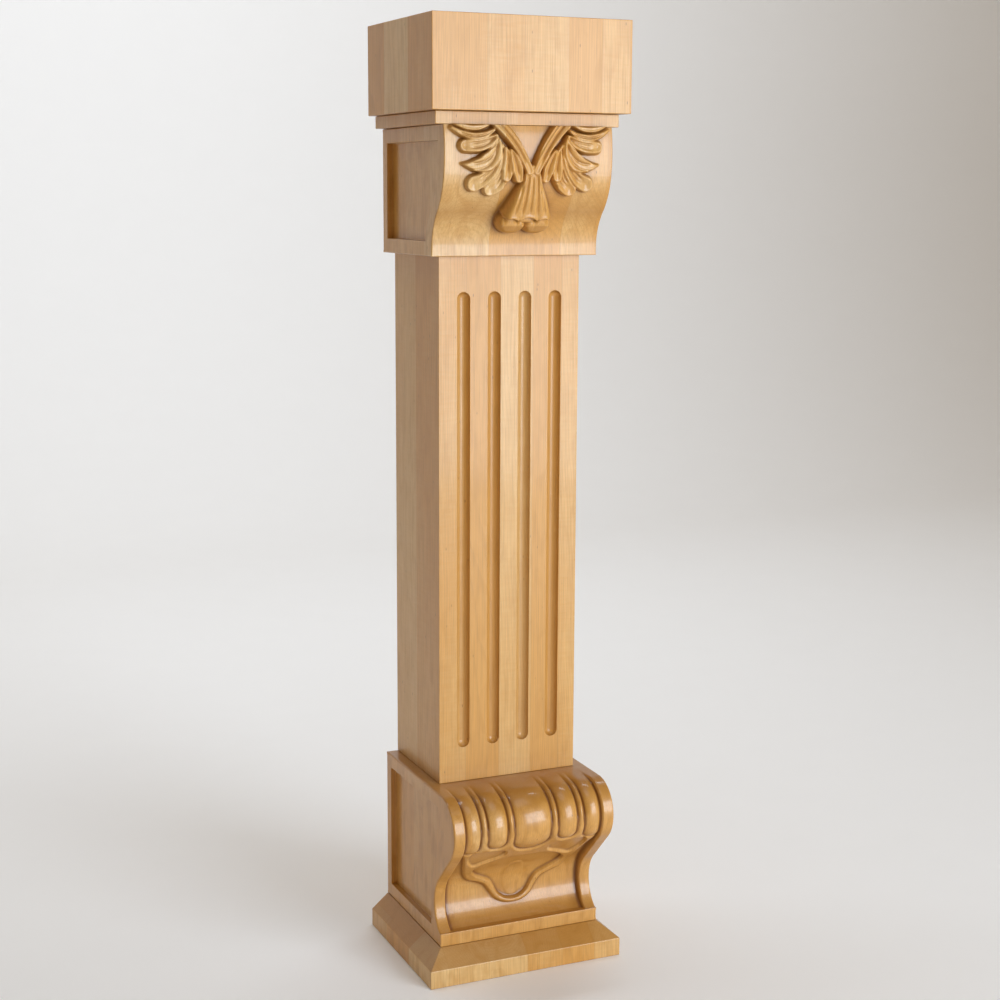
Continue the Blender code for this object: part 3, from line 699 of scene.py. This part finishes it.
def corner_share(rows, full):
    """Share of the long edges' rounding that each row takes, small at the corners of a closed outline."""
    facing = np.arctan2(rows[:, 3], rows[:, 2])
    swing = np.roll(facing, -1) - facing
    turning = np.arctan2(np.sin(swing), np.cos(swing)) > CORNER_TURN
    corners = rows[turning | np.roll(turning, 1)]
    away = np.hypot(rows[:, None, 0] - corners[:, 0], rows[:, None, 1] - corners[:, 1]).min(axis=1)
    return np.minimum(1, (CORNER_DROP_MM + CORNER_GROWTH * away) / full)


def closed_rows(lower, front, corner):
    """Rows round a whole block: its underside and foot, its carved front, then its top and back."""
    depth, height = front[-1, :2]
    upper = outline_rows(depth, height, -RIGHT, [
        (depth - corner, 0, None), arc(corner, -RIGHT), (height - 2 * corner, 0, None), arc(corner, -RIGHT)])
    return np.vstack([lower, front, upper[1:-1]])


def carved_block(name, node, rows, carve, start, relief, hollow, columns, outline):
    """Piece of a block from its outline rows, the way that carving moves them, and its side panels.

    The relief and its hollows begin at the start row. How deep each place lies in a hollow is kept for the
    finish to paint shade there.
    """
    back = SOLID_BOX[1][1] / MM
    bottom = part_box(node)[0][2] / MM
    across, drop = columns
    carved = np.zeros((len(rows), len(across)))
    carved[start:start + len(relief)] = relief
    shares = np.zeros(carved.shape)
    shares[start:start + len(hollow)] = hollow
    drop = drop * corner_share(rows, drop.max())[:, None]
    depths = rows[:, 0:1] + carved * carve[:, 0:1] - drop * rows[:, 2:3]
    heights = rows[:, 1:2] + carved * carve[:, 1:2] - drop * rows[:, 3:4]

    def to_place(x, depth, height):
        return x * MM, (back - depth) * MM, (bottom + height) * MM

    model = bmesh.new()
    grid = [[model.verts.new(to_place(x, depth, height)) for x, depth, height in zip(across, *line)]
            for line in zip(depths, heights)]
    for lower, upper in zip(grid, grid[1:] + grid[:1]):
        for index in range(len(across) - 1):
            model.faces.new((lower[index], lower[index + 1], upper[index + 1], upper[index]))
    for side, index in ((-1, 0), (1, -1)):
        close_side(model, [line[index] for line in grid], side, across[-1], outline, to_place)
    mesh = closed_mesh(name, model)
    mesh.shade_smooth()
    mesh.set_sharp_from_angle(angle=SHARP_ANGLE)
    store_hollow_shade(mesh, shares.ravel())
    return add_object(name, mesh)


def closed_mesh(name, model):
    """Mesh of a finished model with its faces turned outwards; the model is freed."""
    bmesh.ops.recalc_face_normals(model, faces=model.faces)
    mesh = bpy.data.meshes.new(name)
    model.to_mesh(mesh)
    model.free()
    return mesh


def add_object(name, data):
    """Object at the origin for a mesh, light or camera."""
    item = bpy.data.objects.new(name, data)
    bpy.context.collection.objects.link(item)
    return item


def store_hollow_shade(mesh, shares):
    """Keep how deep in a hollow each of the first points lies, for the finish to paint shade there."""
    values = np.zeros(len(mesh.vertices), np.float32)
    values[:len(shares)] = shares
    mesh.attributes.new("hollow", "FLOAT", "POINT").data.foreach_set("value", values)


def hollow_shade_share(relief, spacing, block):
    """How deep in a hollow each grid place lies, from 0 to 1, in narrow hollows and in broad ones, as the
    share of painted shade there.
    """
    reach = HOLLOW_REACH[block]
    narrow = np.clip(soften(relief, reach, spacing) - relief - HOLLOW_START, 0, None)
    broad = np.clip(soften(relief, reach * BROAD_HOLLOW, spacing) - relief - HOLLOW_START, 0, None)
    return np.clip((narrow + BROAD_SHARE * broad) / FULL_HOLLOW_SHADE[block], 0, 1)


def settle(piece, node, material):
    """Give a finished piece its material and body, and hide the node that it stands for."""
    if not piece.data.polygons:
        raise RuntimeError(f"{piece.name} has no faces")
    piece.data.materials.clear()
    piece.data.materials.append(material)
    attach(piece, BODY)
    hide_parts(node)


def add_node(tree, kind, inputs=(), output=0, **settings):
    """Add a node, set what it holds, link or set its inputs by name or in order, and give an output."""
    node = tree.nodes.new(kind)
    for name, value in settings.items():
        setattr(node, name, value)
    pairs = inputs.items() if isinstance(inputs, dict) else enumerate(inputs)
    for key, value in pairs:
        if isinstance(value, bpy.types.NodeSocket):
            tree.links.new(value, node.inputs[key])
        else:
            node.inputs[key].default_value = value
    return node.outputs[output] if node.outputs else None


def lacquered_maple(block):
    """Hard maple under a sprayed satin lacquer, glued up from upright staves.

    Each stave is a slice of its own tree, so its growth rings, tone and lean are its own. Sanding
    leaves fine upright fibre marks, and cut-across wood soaks up the finish and turns darker.
    """
    wood = bpy.context.scene.corbel_maple
    look = WOOD_LOOKS[block]
    material = bpy.data.materials.new(look["name"])
    material.use_nodes = True
    tree = material.node_tree
    tree.nodes.clear()
    scale = 1 / MM
    start = Vector(SEED_STEP) * look["seed"]
    first_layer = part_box(block)[0][1] / MM + start.y + wood.layer_depth / MM * FIRST_LAYER
    coordinates = add_node(tree, "ShaderNodeTexCoord").node.outputs
    place = add_node(tree, "ShaderNodeMapping", {
        "Vector": coordinates["Object"], "Location": start, "Scale": (scale, scale, scale)})
    axes = add_node(tree, "ShaderNodeSeparateXYZ", (place,)).node.outputs
    spots = {}
    for pattern, (across, along) in WOOD_PATTERNS.items():
        spots[pattern] = add_node(tree, "ShaderNodeMapping", {
            "Vector": place, "Scale": (1 / across, 1 / across, 1 / along)})

    behind = add_node(tree, "ShaderNodeMath", (axes["Y"], first_layer), operation="SUBTRACT")
    layer = add_node(tree, "ShaderNodeTexVoronoi", {
        "W": behind, "Scale": MM / wood.layer_depth, "Randomness": 0.0}, "Color", voronoi_dimensions="1D")
    layer_random = add_node(tree, "ShaderNodeSeparateColor", (layer,))
    shifted = add_node(tree, "ShaderNodeMath", (layer_random, LAYER_SHIFT, axes["X"]),
                       operation="MULTIPLY_ADD")
    staves = {"W": shifted, "Scale": MM / wood.stave_width, "Randomness": STAVE_RANDOMNESS}
    stave = add_node(tree, "ShaderNodeTexVoronoi", staves, "Color", voronoi_dimensions="1D")
    stave_random = add_node(tree, "ShaderNodeSeparateColor", (stave,), 2)
    joint = add_node(tree, "ShaderNodeTexVoronoi", staves, "Distance",
                     voronoi_dimensions="1D", feature="DISTANCE_TO_EDGE")
    glue = add_node(tree, "ShaderNodeMapRange", (joint, 0.0, GLUE_WIDTH, GLUE_SHARE, 0.0),
                    interpolation_type="SMOOTHSTEP")

    # Rings run round a pith that lies beside the stave and leans, which draws arches on flat faces
    centred = add_node(tree, "ShaderNodeVectorMath", (stave, (0.5, 0.5, 0.5)), operation="SUBTRACT")
    pith = add_node(tree, "ShaderNodeVectorMath", (centred, PITH_SPREAD), operation="MULTIPLY")
    lean = add_node(tree, "ShaderNodeVectorMath", {0: centred, "Scale": axes["Z"]}, operation="SCALE")
    leaning = add_node(tree, "ShaderNodeVectorMath", (lean, PITH_LEAN, pith), operation="MULTIPLY_ADD")
    wander = add_node(tree, "ShaderNodeTexNoise", {
        "Vector": spots["wander"], "Scale": 1.0, "Detail": 2.0}).node.outputs
    warp = add_node(tree, "ShaderNodeVectorMath", (wander["Color"], WANDER_REACH, leaning),
                    operation="MULTIPLY_ADD")
    from_pith = add_node(tree, "ShaderNodeVectorMath", (place, warp), operation="SUBTRACT")
    flat = add_node(tree, "ShaderNodeVectorMath", (from_pith, (1.0, 1.0, 0.0)), operation="MULTIPLY")
    radius = add_node(tree, "ShaderNodeVectorMath", (flat,), "Value", operation="LENGTH")
    phase = add_node(tree, "ShaderNodeMath", (radius, wood.ring_width / MM), operation="DIVIDE")
    year = add_node(tree, "ShaderNodeMath", (phase,), operation="FRACT")
    late = add_node(tree, "ShaderNodeMapRange", (year, LATE_START, LATE_END, 0.0, RING_SHARE),
                    interpolation_type="SMOOTHERSTEP")
    winter = add_node(tree, "ShaderNodeMapRange", (year, LATE_END, 1.0, 1.0, 0.0))
    ring = add_node(tree, "ShaderNodeMath", (late, winter), operation="MULTIPLY")

    # Fibre marks are drawn coarser than maple's own, so that they show at this size
    fibre = add_node(tree, "ShaderNodeTexNoise", {
        "Vector": spots["fibre"], "Scale": 1.0, "Detail": 3.0, "Roughness": 0.6})
    ripple = add_node(tree, "ShaderNodeTexNoise", {"Vector": spots["ripple"], "Scale": 1.0, "Detail": 1.0})
    cell = add_node(tree, "ShaderNodeTexVoronoi", {"Vector": spots["fleck"], "Scale": 1.0}, "Distance")
    fleck = add_node(tree, "ShaderNodeMapRange", (cell, *FLECK_RANGE, FLECK_SHARE, 0.0),
                     interpolation_type="SMOOTHSTEP")
    patch = add_node(tree, "ShaderNodeTexNoise", {
        "Vector": spots["blotch"], "Scale": 1.0, "Detail": 2.0, "Distortion": 0.6})
    blotch = add_node(tree, "ShaderNodeMapRange", (patch, *BLOTCH_RANGE, 0.0, look["blotches"]),
                      interpolation_type="SMOOTHSTEP")
    mark = add_node(tree, "ShaderNodeMapRange", (fibre, *FIBRE_RANGE, 0.0, FIBRE_SHARE))
    facing = add_node(tree, "ShaderNodeSeparateXYZ", (coordinates["Normal"],), "Z")
    upright = add_node(tree, "ShaderNodeMath", (facing,), operation="ABSOLUTE")
    cut_across = add_node(tree, "ShaderNodeMapRange", (upright, *END_RANGE, 0.0, END_SHARE),
                          interpolation_type="SMOOTHSTEP")

    tone = look["warmth"]
    for pattern, contrast in ((stave_random, STAVE_CONTRAST), (wander[0], WANDER_CONTRAST)):
        tone = add_node(tree, "ShaderNodeMath", (pattern, contrast, tone), operation="MULTIPLY_ADD")
    tone = add_node(tree, "ShaderNodeMath", (ripple, RIPPLE_CONTRAST, tone),
                    operation="MULTIPLY_ADD", use_clamp=True)
    stains = [(tone, wood.tan), (blotch, wood.blotch), (ring, wood.grain), (mark, wood.grain),
              (glue, wood.grain), (fleck, wood.fleck), (cut_across, wood.end_grain)]
    # Painted shade in hollows: the finish darkens the deeper a place lies; on the carving partly also finish
    # gathered there
    if look["hollows"]:
        depth = add_node(tree, "ShaderNodeAttribute", (), "Fac", attribute_name="hollow")
        hollow = add_node(tree, "ShaderNodeMath", (depth, look["hollows"]), operation="MULTIPLY")
        stains.append((hollow, wood.hollow))
    finish = (*wood.pale, 1)
    for share, stain in stains:
        finish = add_node(tree, "ShaderNodeMix", {0: share, 6: finish, 7: (*stain, 1)}, 2, data_type="RGBA")
    rough = add_node(tree, "ShaderNodeMapRange", (
        fibre, 0.3, 0.7, wood.roughness - SMOOTHER_FIBRE, wood.roughness + ROUGHER_FIBRE))
    bump = add_node(tree, "ShaderNodeBump", {
        "Height": fibre, "Strength": 0.35, "Distance": FIBRE_DEPTH_MM * MM})
    shader = add_node(tree, "ShaderNodeBsdfPrincipled", {
        "Base Color": finish, "Roughness": rough, "Normal": bump, "IOR": 1.42,
        "Coat Weight": look["coat"], "Coat Roughness": 0.12, "Coat IOR": 1.5})
    add_node(tree, "ShaderNodeOutputMaterial", {"Surface": shader})
    return material


def plain_mesh(carrier):
    """Plain mesh of an object as its modifiers leave it; the object is removed."""
    evaluated = carrier.evaluated_get(bpy.context.evaluated_depsgraph_get())
    mesh = bpy.data.meshes.new_from_object(evaluated)
    bpy.data.objects.remove(carrier, do_unlink=True)
    return mesh


def eased_block(name, levels, edge):
    """Block through rectangles given as width, depth and height in metres, flush at the back, edges eased."""
    back = SOLID_BOX[1][1]
    model = bmesh.new()
    rings = []
    for width, depth, height in levels:
        front = back - depth
        half = width / 2
        corners = ((-half, back), (-half, front), (half, front), (half, back))
        rings.append([model.verts.new((x, y, height)) for x, y in corners])
    for lower, upper in zip(rings, rings[1:]):
        for index in range(4):
            after = (index + 1) % 4
            model.faces.new((lower[index], lower[after], upper[after], upper[index]))
    model.faces.new(rings[0])
    model.faces.new(rings[-1])
    return eased(name, closed_mesh(name, model), edge)


def eased(name, mesh, edge):
    """Piece with its edges rounded and its flat faces shaded flat."""
    carrier = add_object(name, mesh)
    mesh.shade_smooth()
    rounding = carrier.modifiers.new("eased edges", "BEVEL")
    rounding.width = edge
    rounding.segments = ROUNDING_STEPS
    rounding.limit_method = "ANGLE"
    rounding.angle_limit = EASED_ANGLE
    rounding.use_clamp_overlap = False
    even = carrier.modifiers.new("even shading", "WEIGHTED_NORMAL")
    even.weight = 100
    finished = plain_mesh(carrier)
    finished.name = name
    return add_object(name, finished)


def flute_tree():
    """Node tree of a block with a row of round-ended flutes cut into its front."""
    tree = bpy.data.node_groups.new("fluted block", "GeometryNodeTree")
    tree.is_modifier = True
    tree.interface.new_socket("Geometry", in_out="OUTPUT", socket_type="NodeSocketGeometry")
    for name, kind in FLUTE_INPUTS.items():
        tree.interface.new_socket(name, in_out="INPUT", socket_type="NodeSocket" + kind)
    given = add_node(tree, "NodeGroupInput").node.outputs
    values = {name: given[name] for name in FLUTE_INPUTS}
    for name, operation, *terms in FLUTE_SUMS:
        values[name] = add_node(tree, "ShaderNodeMath", [values.get(term, term) for term in terms],
                                operation=operation)

    size = add_node(tree, "ShaderNodeCombineXYZ", (values["Width"], values["Depth"], values["Length"]))
    block = add_node(tree, "GeometryNodeMeshCube", {"Size": size})
    middle = add_node(tree, "ShaderNodeCombineXYZ", (0.0, values["middle depth"], values["middle height"]))
    stock = add_node(tree, "GeometryNodeTransform", {"Geometry": block, "Translation": middle})

    # A ball whose two halves are drawn apart is the path of a round-nosed cutter
    ball = add_node(tree, "GeometryNodeMeshUVSphere", {
        "Segments": CUTTER_SEGMENTS, "Rings": CUTTER_RINGS, "Radius": values["Radius"]})
    spot = add_node(tree, "GeometryNodeInputPosition")
    height = add_node(tree, "ShaderNodeSeparateXYZ", (spot,), "Z")
    half = add_node(tree, "ShaderNodeMath", (height,), operation="SIGN")
    drawn = add_node(tree, "ShaderNodeMath", (half, values["reach"]), operation="MULTIPLY")
    offset = add_node(tree, "ShaderNodeCombineXYZ", (0.0, 0.0, drawn))
    cutter = add_node(tree, "GeometryNodeSetPosition", {"Geometry": ball, "Offset": offset})
    start = add_node(tree, "ShaderNodeCombineXYZ", (
        values["first flute"], values["cutter depth"], values["flute middle"]))
    step = add_node(tree, "ShaderNodeCombineXYZ", (values["Pitch"],))
    row = add_node(tree, "GeometryNodeMeshLine", {
        "Count": values["Flutes"], "Start Location": start, "Offset": step}, mode="OFFSET")
    placed = add_node(tree, "GeometryNodeInstanceOnPoints", {"Points": row, "Instance": cutter})
    cutters = add_node(tree, "GeometryNodeRealizeInstances", (placed,))
    cut = add_node(tree, "GeometryNodeMeshBoolean", {"Mesh 1": stock, "Mesh 2": cutters},
                   operation="DIFFERENCE", solver="EXACT")
    real = add_node(tree, "GeometryNodeRealizeInstances", (cut,))
    dressed = add_node(tree, "GeometryNodeSetMaterial", {"Geometry": real, "Material": values["Material"]})
    add_node(tree, "NodeGroupOutput", {"Geometry": dressed})
    return tree


def box_size(node):
    """Width, depth and height of a solid."""
    low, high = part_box(node)
    return [far - near for near, far in zip(low, high)]


class CORBEL_OT_base(Operator):
    """Add the base block with its roll, cove, shell and side panels"""

    bl_idname = "corbel.add_base"
    bl_label = "Base block"

    def execute(self, context):
        sizes = context.scene.corbel_base
        panels = context.scene.corbel_panels
        width, _, total = (size / MM for size in box_size("base_block"))
        fine = sizes.fineness / MM
        corner = panels.edge / MM
        foot = sizes.foot_depth / MM
        band = sizes.foot_band / MM
        ledge = sizes.ledge / MM
        lower = outline_rows(corner, 0.0, RIGHT, [
            (foot - 2 * corner, 0, None), arc(corner, -RIGHT), (band - 2 * corner, 0, None),
            arc(corner, -RIGHT), (ledge - corner, 0, ledge)])
        front = outline_rows(foot - ledge, band, -sizes.cove_foot_turn, [
            arc(sizes.cove_foot_radius / MM, sizes.cove_foot_turn, fine),
            arc(sizes.cove_radius / MM, sizes.sweep_slope, fine), (sizes.sweep_run / MM, 0, fine),
            arc(sizes.roll_radius / MM, -sizes.sweep_slope - RIGHT, fine), (sizes.top_run / MM, 0, fine)])
        rows = closed_rows(lower, front, corner)
        carve = rows[:, 2:4].copy()
        carve[:len(lower) + round(sizes.cove_foot_radius * sizes.cove_foot_turn / sizes.fineness)] = (1, 0)
        columns = columns_across(width, sizes.arris / MM, fine)
        across, up = np.meshgrid(columns[0], front[:, 4])
        fade = ease((front[-1, 4] - up) / (sizes.carving_fade / MM))
        carved = roll_relief(across, up, width / 2 - sizes.border / MM) * fade
        relief = soften(carved, sizes.sanding / MM, fine)
        hollow = hollow_shade_share(relief, fine, "base")
        relief[0] = carved[0]
        piece = carved_block("carved_base", "base_block", rows, carve, len(lower), relief, hollow, columns,
                             self.panel_outline(front, total, panels))
        settle(piece, "base_block", lacquered_maple("base_block"))
        return {"FINISHED"}

    @staticmethod
    def panel_outline(front, total, panels):
        """Outline of the side panel: upright by the cove, swaying out behind the roll."""
        rail = panels.rail / MM
        cove = front[front[:int(front[:, 0].argmax()), 0].argmin()]
        rising = front[:int(front[:, 1].argmax()) + 1]
        levels = np.linspace(rail, total - rail, PANEL_STEPS + 1)
        reach = np.interp(np.maximum(levels, cove[1]), rising[:, 1], rising[:, 0]) - cove[0]
        edge = cove[0] - panels.base_border / MM + panels.base_sway * reach
        return squared_off(edge, levels, panels)


class CORBEL_OT_capital(Operator):
    """Add the capital block with its leaf sprays, bell and side panels"""

    bl_idname = "corbel.add_capital"
    bl_label = "Capital block"

    def execute(self, context):
        sizes = context.scene.corbel_capital
        panels = context.scene.corbel_panels
        width, _, total = (size / MM for size in box_size("capital_block"))
        fine = sizes.fineness / MM
        corner = panels.edge / MM
        rail = panels.rail / MM
        foot = sizes.foot_depth / MM
        lower = outline_rows(corner, 0.0, RIGHT, [(foot - 2 * corner, 0, None), arc(corner, -RIGHT)])[:-1]
        front = outline_rows(foot, corner, 0.0, [
            (sizes.foot_band / MM - corner, 0, fine), arc(sizes.hollow_radius / MM, sizes.hollow_turn, fine),
            arc(sizes.shoulder_radius / MM, -sizes.shoulder_turn, fine),
            arc(sizes.crown_radius / MM, -sizes.crown_turn, fine)])
        rows = closed_rows(lower, front, corner)
        carve = rows[:, 2:4].copy()
        carve[rows[:, 3] > 0] = (1, 0)
        columns = columns_across(width, sizes.arris / MM, fine)
        across, down = np.meshgrid(columns[0], front[-1, 4] - front[:, 4])
        relief = soften(leaf_relief(across, down), sizes.sanding / MM, fine)
        hollow = hollow_shade_share(relief, fine, "capital")
        levels = np.linspace(rail, total - rail, PANEL_STEPS + 1)
        edge = np.interp(levels, front[:, 1], front[:, 0]) - panels.capital_border / MM
        piece = carved_block("carved_capital", "capital_block", rows, carve, len(lower), relief, hollow,
                             columns, squared_off(edge, levels, panels))
        settle(piece, "capital_block", lacquered_maple("capital_block"))
        return {"FINISHED"}


class CORBEL_OT_shaft(Operator):
    """Add the shaft with its row of flutes"""

    bl_idname = "corbel.add_shaft"
    bl_label = "Fluted shaft"

    def execute(self, context):
        sizes = context.scene.corbel_shaft
        low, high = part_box("fluted_shaft")
        width, depth, height = box_size("fluted_shaft")
        maple = lacquered_maple("fluted_shaft")
        carrier = add_object("shaft_stock", bpy.data.meshes.new("shaft_stock"))
        tree = flute_tree()
        cutting = carrier.modifiers.new("fluted block", "NODES")
        cutting.node_group = tree
        values = {
            "Width": width, "Depth": depth, "Length": height, "Back": high[1], "Foot": low[2],
            "Flutes": sizes.flutes, "Pitch": sizes.pitch, "Radius": sizes.radius, "Set Out": sizes.set_out,
            "Foot Margin": sizes.foot_margin, "Top Margin": sizes.top_margin, "Material": maple}
        for socket in tree.interface.items_tree:
            if socket.in_out == "INPUT":
                cutting[socket.identifier] = values[socket.name]
        cut = plain_mesh(carrier)
        if len(cut.polygons) <= UNCUT_FACES:
            raise RuntimeError("No flutes were cut into the shaft")
        piece = eased("fluted_shaft_wood", cut, sizes.lip)
        # Painted shade in the flutes: the finish darkens the deeper a place lies behind the face
        spots = np.zeros(len(piece.data.vertices) * 3)
        piece.data.vertices.foreach_get("co", spots)
        sunk = (spots[1::3] - low[1]) / MM
        flute_half = (sizes.flutes - 1) / 2 * sizes.pitch + sizes.radius
        within = (np.abs(spots[0::3]) < flute_half) & (sunk < sizes.radius / MM)
        store_hollow_shade(piece.data, np.where(within, np.clip(sunk / FULL_HOLLOW_SHADE["flute"], 0, 1), 0))
        settle(piece, "fluted_shaft", maple)
        return {"FINISHED"}


class CORBEL_OT_blocks(Operator):
    """Add the plinth, the neck band and the cap block"""

    bl_idname = "corbel.add_blocks"
    bl_label = "Plain blocks"

    def execute(self, context):
        sizes = context.scene.corbel_blocks
        for name, node, slot in (("sloped_plinth", "plinth", "plinth_maple"),
                                 ("neck_moulding", "neck_band", "neck_maple"),
                                 ("plain_cap", "cap_block", "cap_maple")):
            width, depth, _ = box_size(node)
            foot, top = (corner[2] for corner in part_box(node))
            levels = [(width, depth, foot), (width, depth, top)]
            if node == "plinth":
                seat = (box_size("base_block")[0], context.scene.corbel_base.foot_depth, top)
                levels = [(width, depth, foot), (width, depth, foot + sizes.plinth_face), seat]
            settle(eased_block(name, levels, sizes.edge), node, lacquered_maple(node))
        return {"FINISHED"}


class CORBEL_OT_studio(Operator):
    """Add the floor sweep, the lights and the camera"""

    bl_idname = "corbel.add_studio"
    bl_label = "Studio"

    def execute(self, context):
        studio = context.scene.corbel_studio
        eye = Vector(studio.eye)
        view = Vector(studio.look) - eye
        if not view.length:
            raise RuntimeError("The camera stands at the point that it faces")
        self.add_sweep(studio)
        world = bpy.data.worlds.new("white surround")
        world.use_nodes = True
        surround = world.node_tree.nodes["Background"].inputs
        surround["Color"].default_value = (*studio.air, 1)
        surround["Strength"].default_value = studio.surround
        context.scene.world = world
        for name, power, place, target, size in SOFT_BOXES:
            light = bpy.data.lights.new(name, "AREA")
            light.shape = "RECTANGLE"
            light.size, light.size_y = size
            light.energy = getattr(studio, power)
            light.color = studio.flash
            box = add_object(name, light)
            box.location = place
            box.rotation_euler = (Vector(target) - Vector(place)).to_track_quat("-Z", "Y").to_euler()
        data = bpy.data.cameras.new("camera")
        data.lens = studio.lens
        data.sensor_width = SENSOR_MM
        camera = add_object("camera", data)
        camera.rotation_mode = "QUATERNION"
        camera.rotation_quaternion = view.to_track_quat("-Z", "Y") @ Quaternion((0, 0, 1), studio.roll)
        camera.location = eye
        context.scene.camera = camera
        context.scene.view_settings.view_transform = "Standard"
        return {"FINISHED"}

    @staticmethod
    def add_sweep(studio):
        """Seamless pale paper that curves up behind the leg."""
        radius = SWEEP["radius"]
        line = [(SWEEP["front"], 0.0)]
        for index in range(SWEEP["steps"] + 1):
            angle = RIGHT * index / SWEEP["steps"]
            line.append((SWEEP["behind"] + radius * math.sin(angle), radius * (1 - math.cos(angle))))
        line.append((SWEEP["behind"] + radius, SWEEP["height"]))
        vertices = [(side * SWEEP["half"], y, z - FLOOR_GAP) for y, z in line for side in (-1, 1)]
        faces = [(2 * index, 2 * index + 1, 2 * index + 3, 2 * index + 2) for index in range(len(line) - 1)]
        mesh = bpy.data.meshes.new("paper_sweep")
        mesh.from_pydata(vertices, [], faces)
        mesh.shade_smooth()
        mesh.materials.append(matt_paper(studio.floor))
        add_object("paper_sweep", mesh)


def matt_paper(shade):
    """Uncoated studio paper: pressed pulp, so dull all over with a very faint cloudiness."""
    material = bpy.data.materials.new("matt_white_paper")
    material.use_nodes = True
    tree = material.node_tree
    tree.nodes.clear()
    cloud = add_node(tree, "ShaderNodeTexNoise", {"Scale": 90.0})
    duller = [share * 0.985 for share in shade]
    tone = add_node(tree, "ShaderNodeMix", {0: cloud, 6: (*shade, 1), 7: (*duller, 1)}, 2, data_type="RGBA")
    shader = add_node(tree, "ShaderNodeBsdfPrincipled", {"Base Color": tone, "Roughness": 0.85})
    add_node(tree, "ShaderNodeOutputMaterial", {"Surface": shader})
    return material


class VIEW3D_PT_corbel(Panel):
    """Sidebar list of the corbel's operators"""

    bl_label = "Fireplace Corbel"
    bl_idname = "VIEW3D_PT_corbel"
    bl_space_type = "VIEW_3D"
    bl_region_type = "UI"
    bl_category = "Corbel"

    def draw(self, context):
        for operator in OPERATORS:
            self.layout.operator(operator.bl_idname)


SETTINGS = {
    "corbel_maple": CorbelMaple,
    "corbel_base": CorbelBase,
    "corbel_capital": CorbelCapital,
    "corbel_panels": CorbelPanels,
    "corbel_shaft": CorbelShaft,
    "corbel_blocks": CorbelBlocks,
    "corbel_studio": CorbelStudio,
}
OPERATORS = (CORBEL_OT_blocks, CORBEL_OT_base, CORBEL_OT_shaft, CORBEL_OT_capital, CORBEL_OT_studio)


def register():
    """Add the settings, operators and panel to Blender."""
    for name, group in SETTINGS.items():
        bpy.utils.register_class(group)
        setattr(bpy.types.Scene, name, PointerProperty(type=group))
    for operator in OPERATORS:
        bpy.utils.register_class(operator)
    bpy.utils.register_class(VIEW3D_PT_corbel)


def unregister():
    """Take them out again."""
    bpy.utils.unregister_class(VIEW3D_PT_corbel)
    for operator in reversed(OPERATORS):
        bpy.utils.unregister_class(operator)
    for name, group in reversed(SETTINGS.items()):
        delattr(bpy.types.Scene, name)
        bpy.utils.unregister_class(group)


def main():
    """Make every piece and the studio."""
    register()
    bpy.ops.corbel.add_blocks()
    bpy.ops.corbel.add_base()
    bpy.ops.corbel.add_shaft()
    bpy.ops.corbel.add_capital()
    bpy.ops.corbel.add_studio()


if __name__ == "__main__":
    main()
